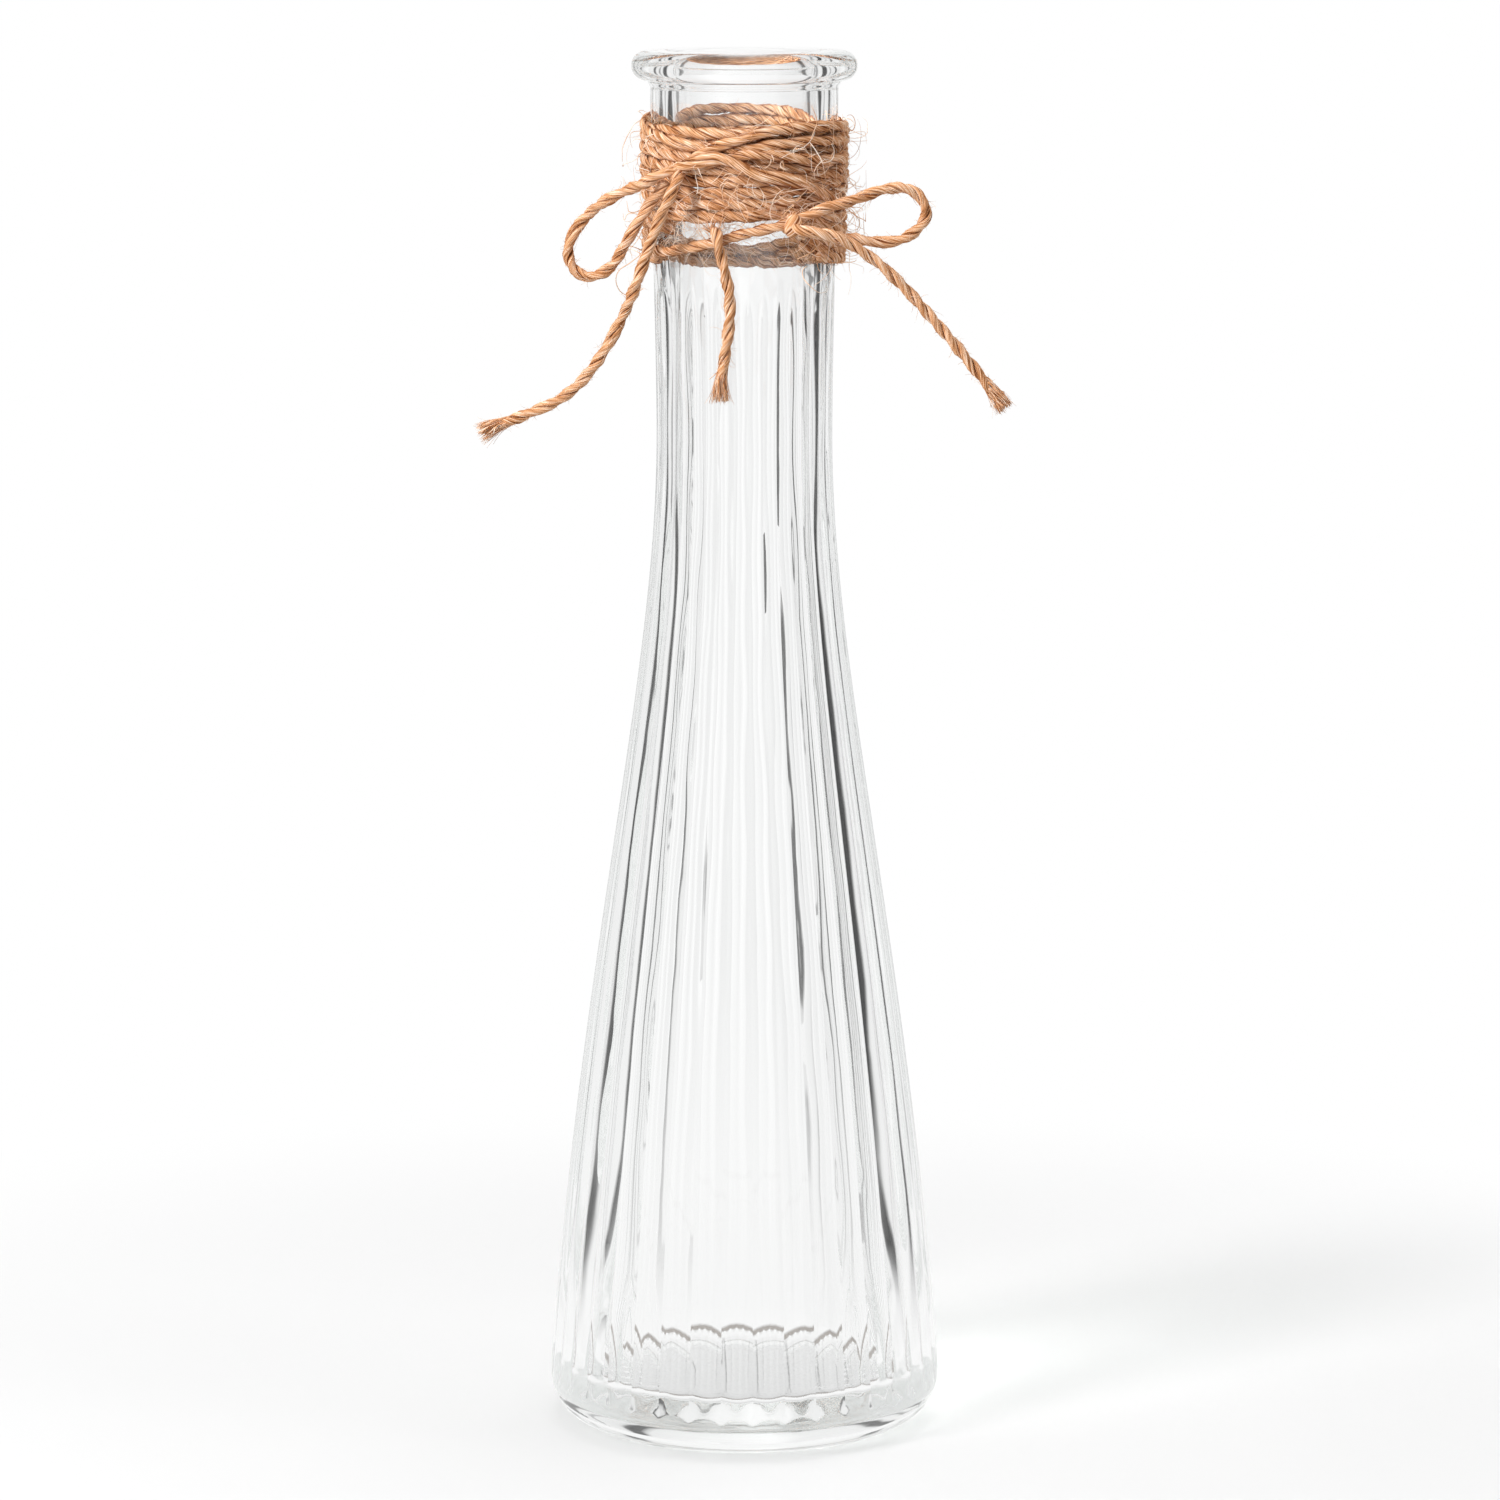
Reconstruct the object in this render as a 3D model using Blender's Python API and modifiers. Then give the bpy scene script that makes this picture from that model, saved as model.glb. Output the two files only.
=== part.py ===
# Reeded glass bottle vase with jute twine wound and tied round its neck.
# Metres, +Z up. The origin is the centre of the flat base, and the bow faces -Y.

import math

import bpy
from mathutils import Vector

MM = 0.001

# Glass: outer shape
TOTAL_HEIGHT = 250.0 * MM
BASE_RADIUS = 35.6 * MM
HEEL_RADIUS = 8.3 * MM
HEEL_BAND = 2.2 * MM
FLARE_FOOT_LEAN = 0.0786
FLARE_FOOT_PULL = 80.0 * MM
FLARE_TOP_PULL = 42.4 * MM
NECK_LENGTH = 69.0 * MM
WAIST_RADIUS = 15.85 * MM
NECK_TOP_RADIUS = 16.8 * MM
COLLAR_STEP = 0.5 * MM
COLLAR_HEIGHT = 1.4 * MM
RIM_OVERHANG = 2.9 * MM
RIM_THICKNESS = 5.4 * MM

# Glass: inner shape
NECK_WALL = 3.05 * MM
LIP_ROUND = 1.7 * MM
FLOOR_THICKNESS = 9.5 * MM
FLOOR_CORNER = 2.2 * MM
BODY_WALL_SHARE = 0.215      # the wall over the outside's radius
FLOOR_WALL_SHARE = 0.17
WAIST_WALL_RUN = 31.0 * MM   # heights over which the neck's and the floor's walls pass into the body's
FLOOR_WALL_RUN = 45.0 * MM

# Glass: reeds, which start with rounded tops under the twine and deepen as the body widens
RIB_COUNT = 38
RIB_DEPTH = 0.5 * MM
RIB_TOP_DROP = 39.0 * MM
RIB_TOP_RUN = 9.0 * MM
RIB_TURN_DEGREES = -2.2

# Facets
RIB_STEPS = 3
RIB_TOP_SHARES = (1.0, 0.4, 0.0)
FLARE_STEPS = 8
HEEL_STEPS = 3
RIM_ANGLES = (-50, -15, 20, 55, 90)
LIP_STEPS = 3
INNER_STEPS = 6
CORNER_STEPS = 3
SHARP_EDGE_DEGREES = 40
POINTS_PER_TURN = 24
WOUND_RESOLUTION = 1
LOOSE_RESOLUTION = 2
STEPS_BETWEEN_STOPS = 20
KNOT_SEGMENTS = 14
KNOT_RINGS = 8
FLARE_HALVINGS = 40

# Twine
SEAT_GAP = 0.3 * MM
LOOSE_DIAMETER = 2.15 * MM
WOUND_DIAMETER = 1.6 * MM
TURN_GAP = 0.45 * MM
BAND_DROP = 28.3 * MM
BAND_TURNS = 7.1
BAND_BACK_RISE = 2.2 * MM
BAND_END_DEGREES = 23.0
KNOT_WIDTH = 3.8 * MM
KNOT_DEPTH = 3.4 * MM
KNOT_HEIGHT = 3.8 * MM
FRAY_LENGTH = 5.0 * MM
FRAY_FLARE = 1.35

# Worked out from the sizes above
WAIST_HEIGHT = TOTAL_HEIGHT - NECK_LENGTH
FLARE_FOOT_HEIGHT = HEEL_RADIUS + HEEL_BAND
COLLAR_BOTTOM = TOTAL_HEIGHT - RIM_THICKNESS - COLLAR_HEIGHT
COLLAR_RADIUS = NECK_TOP_RADIUS + COLLAR_STEP
RIM_OUTER_RADIUS = COLLAR_RADIUS + RIM_OVERHANG
BORE_RADIUS = WAIST_RADIUS - NECK_WALL
RIB_TOP_HEIGHT = TOTAL_HEIGHT - RIB_TOP_DROP
WOUND_PITCH = WOUND_DIAMETER + TURN_GAP
BAND_LOW_HEIGHT = TOTAL_HEIGHT - BAND_DROP
BAND_TOP_HEIGHT = BAND_LOW_HEIGHT + WOUND_PITCH * BAND_TURNS
LYING_SPACING = 1.25 * LOOSE_DIAMETER

# Where the knots lie: degrees round from the front towards +X, and mm above the band's lowest turn
KNOT_LEFT_PLACE = (-35.1, 7.6)
KNOT_RIGHT_PLACE = (23.1, -1.1)
CROSS_STRAND_HEADING = 30.0
LOWER_STRAND_HEADING = 197.0

# Routes of the turns under the band: degrees, and mm above the band's lowest turn
LOWER_TURN_UPPER = (
    (34, -2.3), (60, -2.8), (90, -3.5), (130, -4.8), (180, -5.8), (230, -5.6), (270, -4.8), (296, -4.1),
)
LOWER_TURN_MIDDLE = (
    (40, -4.8), (60, -5.3), (90, -6.0), (130, -7.2), (180, -8.1), (230, -7.9), (270, -7.2), (296, -6.8),
)
LOWER_TURN_LOWER = (
    (46, -7.4), (60, -7.8), (90, -8.5), (130, -9.6), (180, -10.4), (230, -10.2), (270, -9.5), (300, -9.0),
)

# The strand that climbs off the glass to the right knot: degrees, mm above the lowest turn, mm of lift
LOWER_STRAND = (
    (-57, -6.9, 0.0), (-45, -6.4, 0.0), (-32, -5.7, 0.0), (-16, -4.6, 0.1),
    (-6, -3.7, 0.6), (3, -3.0, 1.5), (11, -2.4, 2.4),
)

# The strand from the left knot over the band: degrees, mm above the lowest turn
CROSS_STRAND = (
    (-24, 9.3), (-19, 9.8), (-12, 10.0), (-2, 8.9), (8, 7.4), (21, 6.5), (36, 5.0), (53, 2.4),
)

# The strand along the band's upper edge: degrees, mm above the highest turn, mm of lift
UPPER_STRAND = (
    (-5, -1.3, 0.0), (4, -0.2, 0.0), (13, 0.4, 0.0), (30, 0.9, 0.1), (53, 0.8, 0.3), (68, 0.3, 0.3),
)

# Free routes, in mm from the centre of the knot that each leaves: across, towards the back, up
LOOP_LEFT_OUT = (
    (-5.7, 0.3, -1.9), (-9.1, 1.5, -3.4), (-12.9, 2.9, -5.4), (-15.8, 4.1, -7.8),
    (-17.8, 4.9, -10.3), (-19.1, 5.3, -12.8), (-19.2, 5.4, -15.5), (-18.1, 5.1, -17.6),
    (-16.0, 4.7, -18.8), (-13.7, 4.1, -18.2), (-11.4, 3.6, -16.6), (-9.7, 3.1, -13.9),
    (-8.1, 2.6, -11.0), (-6.5, 2.3, -8.4), (-4.9, 2.0, -6.0), (-3.4, 1.6, -4.0),
)
LOOP_RIGHT_OUT = (
    (6.3, 0.4, 2.5), (9.6, 1.4, 3.3), (13.2, 2.6, 4.5), (16.4, 3.6, 5.5), (19.5, 4.4, 5.8),
    (22.1, 5.0, 4.9), (23.8, 5.3, 2.7), (24.0, 5.4, 0.6), (22.6, 5.3, -1.5), (20.1, 5.0, -3.2),
    (17.3, 4.7, -3.8), (14.5, 4.4, -3.7), (11.8, 4.1, -3.3), (9.1, 3.7, -2.9), (6.3, 3.0, -2.6),
    (4.0, 2.0, -1.9),
)
TAIL_LEFT_OUT = (
    (-0.4, -2.6, -2.4), (-1.4, -3.0, -4.6), (-2.7, -2.6, -7.4), (-3.9, -1.9, -10.4), (-5.1, -1.1, -13.7),
    (-6.2, -0.4, -16.9), (-7.6, 0.3, -20.8), (-9.4, 1.1, -25.1), (-11.7, 1.7, -29.6),
    (-14.4, 2.3, -33.9), (-17.6, 2.9, -37.8), (-21.2, 3.4, -40.6), (-25.0, 3.8, -42.4),
    (-28.7, 4.2, -43.9), (-31.9, 4.5, -45.1), (-35.0, 4.8, -46.6),
)
TAIL_RIGHT_OUT = (
    (1.7, -2.9, -1.1), (4.4, -3.1, -1.5), (7.3, -2.4, -2.2), (10.3, -1.5, -3.5), (13.3, -0.6, -5.5),
    (16.2, 0.2, -7.7), (18.8, 1.0, -10.2), (21.9, 1.7, -13.4), (25.2, 2.4, -17.2),
    (28.7, 3.1, -21.2), (31.9, 3.8, -25.1), (34.4, 4.3, -28.2), (36.6, 4.7, -30.9), (38.2, 5.0, -33.4),
)

# Middle tail, in mm from the lower strand's centre where it hooks over it
TAIL_CENTRE_PLACE = (-16.0, -4.6)
TAIL_CENTRE_OUT = (
    (0.0, -2.7, 1.6), (0.1, -3.3, 0.2), (0.5, -3.2, -1.4), (0.9, -2.9, -3.0), (1.6, -2.4, -6.0),
    (2.1, -2.0, -8.5), (2.3, -1.7, -11.0), (2.2, -1.3, -14.6), (1.7, -1.0, -18.3),
    (1.1, -0.8, -22.2), (0.7, -0.7, -24.9), (0.5, -0.6, -28.2),
)


def clear_scene():
    for item in list(bpy.data.objects):
        bpy.data.objects.remove(item, do_unlink=True)


def collection_named(name):
    made = bpy.data.collections.new(name)
    bpy.context.scene.collection.children.link(made)
    return made


def make_material(name, colour, roughness, transmission=0.0, ior=1.5):
    material = bpy.data.materials.new(name)
    material.use_nodes = True
    shader = material.node_tree.nodes["Principled BSDF"]
    shader.inputs["Base Color"].default_value = (*colour, 1.0)
    shader.inputs["Roughness"].default_value = roughness
    shader.inputs["Metallic"].default_value = 0.0
    shader.inputs["Transmission Weight"].default_value = transmission
    shader.inputs["IOR"].default_value = ior
    return material


def blend(low, high, share):
    return low + (high - low) * share


def smooth_step(share):
    share = min(max(share, 0.0), 1.0)
    return share * share * (3.0 - 2.0 * share)


# The glass outline

def flare_point(share):
    """Radius and height on the flare, from its foot (0) to the waist (1), as one Bezier curve."""
    foot_lean = FLARE_FOOT_PULL * FLARE_FOOT_LEAN
    radii = (BASE_RADIUS, BASE_RADIUS - foot_lean, WAIST_RADIUS, WAIST_RADIUS)
    heights = (
        FLARE_FOOT_HEIGHT,
        FLARE_FOOT_HEIGHT + FLARE_FOOT_PULL,
        WAIST_HEIGHT - FLARE_TOP_PULL,
        WAIST_HEIGHT,
    )
    rest = 1.0 - share
    weights = (rest ** 3, 3 * rest * rest * share, 3 * rest * share * share, share ** 3)
    radius = sum(w * r for w, r in zip(weights, radii))
    height = sum(w * h for w, h in zip(weights, heights))
    return radius, height


def body_radius(height):
    """Radius of the outside over the reeds' crests, from the heel to the collar."""
    if height <= FLARE_FOOT_HEIGHT:
        return BASE_RADIUS + FLARE_FOOT_LEAN * (FLARE_FOOT_HEIGHT - height)
    if height >= WAIST_HEIGHT:
        share = smooth_step((height - WAIST_HEIGHT) / (COLLAR_BOTTOM - WAIST_HEIGHT))
        return blend(WAIST_RADIUS, NECK_TOP_RADIUS, share)
    low, high = 0.0, 1.0
    for _ in range(FLARE_HALVINGS):
        middle = (low + high) / 2
        if flare_point(middle)[1] < height:
            low = middle
        else:
            high = middle
    return flare_point(low)[0]


def heel_radius_at(height):
    """Radius of the smooth rounded heel, which trims the reeds' lower ends."""
    rise = min(max(HEEL_RADIUS - height, 0.0), HEEL_RADIUS)
    return BASE_RADIUS - HEEL_RADIUS + math.sqrt(HEEL_RADIUS ** 2 - rise ** 2)


def inner_radius(height):
    """Radius of the inside: the bore in the neck, and below it a wall that grows with the body's radius."""
    if height >= WAIST_HEIGHT:
        return BORE_RADIUS
    above_floor = smooth_step((height - FLOOR_THICKNESS) / FLOOR_WALL_RUN)
    wall_share = blend(FLOOR_WALL_SHARE, BODY_WALL_SHARE, above_floor)
    below_waist = smooth_step((WAIST_HEIGHT - height) / WAIST_WALL_RUN)
    wall_share = blend(NECK_WALL / WAIST_RADIUS, wall_share, below_waist)
    return body_radius(height) * (1.0 - wall_share)


def rib_cut(height, angle):
    """How far the reeded surface lies inside its crests: rounded reeds with sharp valleys."""
    across = (angle / (2 * math.pi) * RIB_COUNT) % 1.0 * 2.0 - 1.0
    run_in = math.sqrt(smooth_step((RIB_TOP_HEIGHT - height) / RIB_TOP_RUN))
    depth = RIB_DEPTH * body_radius(height) / BASE_RADIUS * run_in
    return depth * across * across


def outer_profile():
    """Radius and height of the outside, bottom to top, up to the under side of the rim ring."""
    points = []
    for step in range(HEEL_STEPS + 1):
        turn = math.radians(90.0 * step / HEEL_STEPS)
        points.append((
            BASE_RADIUS - HEEL_RADIUS + HEEL_RADIUS * math.sin(turn),
            HEEL_RADIUS * (1.0 - math.cos(turn)),
        ))
    points += [flare_point(step / FLARE_STEPS) for step in range(FLARE_STEPS + 1)]
    rib_ends = [RIB_TOP_HEIGHT - share * RIB_TOP_RUN for share in RIB_TOP_SHARES]
    points += [(body_radius(height), height) for height in (*rib_ends, COLLAR_BOTTOM)]
    points.append((COLLAR_RADIUS, COLLAR_BOTTOM + COLLAR_STEP))
    points.append((COLLAR_RADIUS, COLLAR_BOTTOM + COLLAR_HEIGHT))
    return points


def rim_profile():
    """The rolled ring, from its under side round the outside to its top."""
    tube = RIM_THICKNESS / 2
    centre = (RIM_OUTER_RADIUS - tube, TOTAL_HEIGHT - tube)
    turns = [math.radians(angle) for angle in RIM_ANGLES]
    return [(centre[0] + tube * math.cos(t), centre[1] + tube * math.sin(t)) for t in turns]


def inner_profile():
    """Radius and height of the inside, from the lip down, ending at the floor's centre."""
    points = []
    for step in range(LIP_STEPS + 1):
        turn = math.radians(90.0 * step / LIP_STEPS)
        points.append((
            BORE_RADIUS + LIP_ROUND * (1.0 - math.sin(turn)),
            TOTAL_HEIGHT - LIP_ROUND * (1.0 - math.cos(turn)),
        ))
    points.append((BORE_RADIUS, WAIST_HEIGHT))
    corner_height = FLOOR_THICKNESS + FLOOR_CORNER
    for step in range(1, INNER_STEPS):
        height = blend(WAIST_HEIGHT, corner_height, step / INNER_STEPS)
        points.append((inner_radius(height), height))
    side = inner_radius(corner_height)
    for step in range(CORNER_STEPS + 1):
        turn = math.radians(90.0 * step / CORNER_STEPS)
        points.append((
            side - FLOOR_CORNER * (1.0 - math.cos(turn)),
            corner_height - FLOOR_CORNER * math.sin(turn),
        ))
    points.append((0.0, FLOOR_THICKNESS))
    return points


def turned_mesh(name, profile, steps):
    """A closed turned body from a profile that starts and ends on the axis."""
    mesh = bpy.data.meshes.new(name)
    points = [(radius, 0.0, height) for radius, height in profile]
    edges = [(i, i + 1) for i in range(len(points) - 1)]
    mesh.from_pydata(points, edges, [])
    turned = bpy.data.objects.new(name, mesh)
    bpy.context.scene.collection.objects.link(turned)
    screw = turned.modifiers.new("turn", "SCREW")
    screw.axis = "Z"
    screw.steps = steps
    screw.render_steps = steps
    screw.use_merge_vertices = True
    screw.merge_threshold = 0.00001
    graph = bpy.context.evaluated_depsgraph_get()
    made = bpy.data.meshes.new_from_object(turned.evaluated_get(graph))
    bpy.data.objects.remove(turned)
    return made


def press_ribs(mesh):
    """Moves the outside of a turned mesh in to the reeds and to the smooth heel."""
    for vertex in mesh.vertices:
        x, y, height = vertex.co
        radius = math.hypot(x, y)
        outside = radius > (inner_radius(max(height, FLOOR_THICKNESS)) + body_radius(height)) / 2
        if not outside or height <= 0.0 or height >= RIB_TOP_HEIGHT:
            continue
        reeded = body_radius(height) - rib_cut(height, math.atan2(y, x))
        pressed = min(reeded, heel_radius_at(height))
        vertex.co.x *= pressed / radius
        vertex.co.y *= pressed / radius


def make_glass(parts, glass):
    inside_to_outside = inner_profile()[::-1] + rim_profile()[::-1] + outer_profile()[::-1] + [(0.0, 0.0)]
    mesh = turned_mesh("glass_body", inside_to_outside, RIB_COUNT * RIB_STEPS)
    press_ribs(mesh)
    mesh.shade_smooth()
    mesh.set_sharp_from_angle(angle=math.radians(SHARP_EDGE_DEGREES))
    body = bpy.data.objects.new("glass_body", mesh)
    body.rotation_euler.z = math.radians(RIB_TURN_DEGREES)
    body.data.materials.append(glass)
    parts.objects.link(body)
    return body


# The twine

def place(degrees, height, radius):
    """A point at an angle from the front, round towards +X."""
    turn = math.radians(degrees)
    return Vector((radius * math.sin(turn), -radius * math.cos(turn), height))


def wound_radius(height, diameter, degrees_a_step):
    """Centreline radius of twine on the glass, with room for the flats between its points."""
    chord = math.cos(math.radians(degrees_a_step / 2))
    return (body_radius(height) + SEAT_GAP) / chord + diameter / 2


def band_radius(height):
    return wound_radius(height, WOUND_DIAMETER, 360.0 / POINTS_PER_TURN)


def over_band_radius(height, thickness):
    """Centreline radius of what lies on the band."""
    return band_radius(height) + WOUND_DIAMETER / 2 + SEAT_GAP + thickness / 2


def smooth_route(points, spacing):
    """Evenly spaced points on one smooth curve through the route's own points."""
    points = [Vector(p) for p in points]
    ends = [2 * points[0] - points[1]] + points + [2 * points[-1] - points[-2]]
    dense = []
    for i in range(1, len(ends) - 2):
        before, start, end, after = ends[i - 1:i + 3]
        for step in range(STEPS_BETWEEN_STOPS):
            t = step / STEPS_BETWEEN_STOPS
            dense.append(0.5 * (
                2 * start
                + (end - before) * t
                + (2 * before - 5 * start + 4 * end - after) * t ** 2
                + (3 * start - before - 3 * end + after) * t ** 3
            ))
    dense.append(points[-1])
    lengths = [0.0]
    for one, two in zip(dense, dense[1:]):
        lengths.append(lengths[-1] + (two - one).length)
    count = max(round(lengths[-1] / spacing), 2)
    route = []
    at = 0
    for step in range(count + 1):
        want = lengths[-1] * step / count
        while at < len(dense) - 2 and lengths[at + 1] < want:
            at += 1
        share = (want - lengths[at]) / (lengths[at + 1] - lengths[at])
        route.append(dense[at].lerp(dense[at + 1], share))
    return route


def route_length(points):
    return sum((b - a).length for a, b in zip(points, points[1:]))


def twine_tube(parts, name, points, diameter, resolution, jute, frayed=False):
    """A round tube along the points. A frayed one swells towards its cut end."""
    curve = bpy.data.curves.new(name, "CURVE")
    curve.dimensions = "3D"
    curve.fill_mode = "FULL"
    curve.bevel_depth = diameter / 2
    curve.bevel_resolution = resolution
    curve.use_fill_caps = True
    spline = curve.splines.new("POLY")
    spline.points.add(len(points) - 1)
    to_end = route_length(points)
    for i, point in enumerate(points):
        spline.points[i].co = (*point, 1.0)
        if i:
            to_end -= (point - points[i - 1]).length
        if frayed and to_end < FRAY_LENGTH:
            spline.points[i].radius = blend(FRAY_FLARE, 1.0, to_end / FRAY_LENGTH)
    spline.use_smooth = True
    tube = bpy.data.objects.new(name, curve)
    tube.data.materials.append(jute)
    parts.objects.link(tube)
    return tube


def band_points():
    """Centreline of the band, from under the right knot round and up, with a straight run at each end."""
    count = round(BAND_TURNS * POINTS_PER_TURN)
    points = []
    for i in range(count + 1):
        turns = i / POINTS_PER_TURN
        degrees = BAND_END_DEGREES + 360.0 * turns
        back_share = (1.0 - math.cos(math.radians(degrees))) / 2
        height = BAND_LOW_HEIGHT + WOUND_PITCH * turns + BAND_BACK_RISE * back_share
        points.append(place(degrees, height, band_radius(height)))
    before = (points[0] - points[1]).normalized() * WOUND_DIAMETER
    after = (points[-1] - points[-2]).normalized() * WOUND_DIAMETER
    return [points[0] + before] + points + [points[-1] + after]


def least_self_gap(points, diameter):
    """Least distance between parts of the tube that are half a turn or more apart, less its diameter."""
    apart = POINTS_PER_TURN // 2
    pairs = ((a, b) for i, a in enumerate(points) for b in points[i + apart:])
    return min((a - b).length for a, b in pairs) - diameter


def make_band(parts, jute):
    points = band_points()
    gap = least_self_gap(points, WOUND_DIAMETER)
    print(f"twine_band: {route_length(points) / MM:.0f} mm long, least gap to itself {gap / MM:.2f} mm")
    return twine_tube(parts, "twine_band", points, WOUND_DIAMETER, WOUND_RESOLUTION, jute)


def lying_points(route, from_height, radius_of):
    """Even points along a route of (degrees, mm above a height, mm of lift) on a round layer."""
    flat = [(math.radians(stop[0]) * WAIST_RADIUS, stop[1] * MM, stop[2] * MM) for stop in route]
    points = []
    for along, rise, lift in smooth_route(flat, LYING_SPACING):
        height = from_height + rise
        points.append(place(math.degrees(along / WAIST_RADIUS), height, radius_of(height) + lift))
    return points


def on_glass_radius(height, diameter):
    return wound_radius(height, diameter, math.degrees(LYING_SPACING / WAIST_RADIUS))


def unlifted(route):
    return tuple((degrees, rise, 0.0) for degrees, rise in route)


def knot_stop(spot, heading, radius_of):
    """Where a lying strand meets a knot, SEAT_GAP off it, at a heading in degrees up from +X."""
    turn = math.radians(heading)
    knot_height = BAND_LOW_HEIGHT + spot[1] * MM
    knot_radius = over_band_radius(knot_height, KNOT_DEPTH)
    across = (KNOT_WIDTH / 2 + SEAT_GAP) * math.cos(turn)
    rise = (KNOT_HEIGHT / 2 + SEAT_GAP) * math.sin(turn)
    lift = knot_radius - radius_of(knot_height + rise)
    return (spot[0] + math.degrees(across / knot_radius), spot[1] + rise / MM, lift / MM)


def make_lying_strands(parts, jute):
    """The strands that lie on the glass below the band, and those that lie on the band."""
    def wound_on_glass(height):
        return on_glass_radius(height, WOUND_DIAMETER)

    def loose_on_glass(height):
        return on_glass_radius(height, LOOSE_DIAMETER)

    def loose_on_band(height):
        return over_band_radius(height, LOOSE_DIAMETER)

    for name, route in (
        ("lower_turn_upper", LOWER_TURN_UPPER),
        ("lower_turn_middle", LOWER_TURN_MIDDLE),
        ("lower_turn_lower", LOWER_TURN_LOWER),
    ):
        points = lying_points(unlifted(route), BAND_LOW_HEIGHT, wound_on_glass)
        twine_tube(parts, name, points, WOUND_DIAMETER, LOOSE_RESOLUTION, jute)

    lower = LOWER_STRAND + (knot_stop(KNOT_RIGHT_PLACE, LOWER_STRAND_HEADING, loose_on_glass),)
    cross = (knot_stop(KNOT_LEFT_PLACE, CROSS_STRAND_HEADING, loose_on_band),) + unlifted(CROSS_STRAND)
    for name, route, from_height, radius_of in (
        ("lower_strand", lower, BAND_LOW_HEIGHT, loose_on_glass),
        ("cross_strand", cross, BAND_LOW_HEIGHT, loose_on_band),
        ("upper_strand", UPPER_STRAND, BAND_TOP_HEIGHT, loose_on_band),
    ):
        points = lying_points(route, from_height, radius_of)
        twine_tube(parts, name, points, LOOSE_DIAMETER, LOOSE_RESOLUTION, jute)


def knot_centre(spot):
    height = BAND_LOW_HEIGHT + spot[1] * MM
    return place(spot[0], height, over_band_radius(height, KNOT_DEPTH))


def make_knot(parts, name, spot, jute):
    """A tied lump, wider and taller than it is deep, flat to the neck."""
    bpy.ops.mesh.primitive_uv_sphere_add(segments=KNOT_SEGMENTS, ring_count=KNOT_RINGS, radius=0.5)
    knot = bpy.context.object
    knot.name = name
    knot.data.name = name
    for vertex in knot.data.vertices:
        vertex.co.x *= KNOT_WIDTH
        vertex.co.y *= KNOT_DEPTH
        vertex.co.z *= KNOT_HEIGHT
    knot.data.shade_smooth()
    knot.data.materials.append(jute)
    knot.location = knot_centre(spot)
    knot.rotation_euler.z = math.radians(spot[0])
    for holder in list(knot.users_collection):
        holder.objects.unlink(knot)
    parts.objects.link(knot)
    return knot


def knot_side(spot, towards):
    """The point SEAT_GAP off the knot's surface on the way to a point given in mm from its centre."""
    way = Vector(towards).normalized()
    turn = math.radians(-spot[0])
    across = way.x * math.cos(turn) - way.y * math.sin(turn)
    deep = way.x * math.sin(turn) + way.y * math.cos(turn)
    stretch = math.sqrt(
        (across / (KNOT_WIDTH / 2)) ** 2 + (deep / (KNOT_DEPTH / 2)) ** 2 + (way.z / (KNOT_HEIGHT / 2)) ** 2
    )
    return knot_centre(spot) + way * (1.0 / stretch + SEAT_GAP)


def from_knot(spot, route):
    centre = knot_centre(spot)
    return [knot_side(spot, route[0])] + [centre + Vector(stop) * MM for stop in route]


def make_bow(parts, jute):
    """The two knots, the loops and the three tails."""
    make_knot(parts, "knot_left", KNOT_LEFT_PLACE, jute)
    make_knot(parts, "knot_right", KNOT_RIGHT_PLACE, jute)
    loops = (
        ("bow_loop_left", KNOT_LEFT_PLACE, LOOP_LEFT_OUT),
        ("bow_loop_right", KNOT_RIGHT_PLACE, LOOP_RIGHT_OUT),
    )
    for name, spot, route in loops:
        stops = from_knot(spot, route) + [knot_side(spot, route[-1])]
        points = smooth_route(stops, LOOSE_DIAMETER)
        print(f"{name}: {route_length(points) / MM:.1f} mm")
        twine_tube(parts, name, points, LOOSE_DIAMETER, LOOSE_RESOLUTION, jute)
    hook_height = BAND_LOW_HEIGHT + TAIL_CENTRE_PLACE[1] * MM
    hook = place(TAIL_CENTRE_PLACE[0], hook_height, on_glass_radius(hook_height, LOOSE_DIAMETER))
    tails = (
        ("tail_left", from_knot(KNOT_LEFT_PLACE, TAIL_LEFT_OUT)),
        ("tail_right", from_knot(KNOT_RIGHT_PLACE, TAIL_RIGHT_OUT)),
        ("tail_centre", [hook + Vector(stop) * MM for stop in TAIL_CENTRE_OUT]),
    )
    for name, stops in tails:
        points = smooth_route(stops, LOOSE_DIAMETER)
        print(f"{name}: {route_length(points) / MM:.1f} mm")
        twine_tube(parts, name, points, LOOSE_DIAMETER, LOOSE_RESOLUTION, jute, frayed=True)


def main():
    clear_scene()
    parts = collection_named("twine_neck_glass_vase")
    glass = make_material("clear_glass", (0.96, 0.98, 0.97), 0.02, transmission=1.0, ior=1.5)
    jute = make_material("jute_twine", (0.58, 0.31, 0.14), 0.9)
    make_glass(parts, glass)
    make_band(parts, jute)
    make_lying_strands(parts, jute)
    make_bow(parts, jute)


main()
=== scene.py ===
# Clear reeded bottle vase with hairy two-ply jute twine wound and tied round its neck.
# In metres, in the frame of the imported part: +Z up, the bow faces -Y. The twine is worked out in mm.

import math

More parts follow.
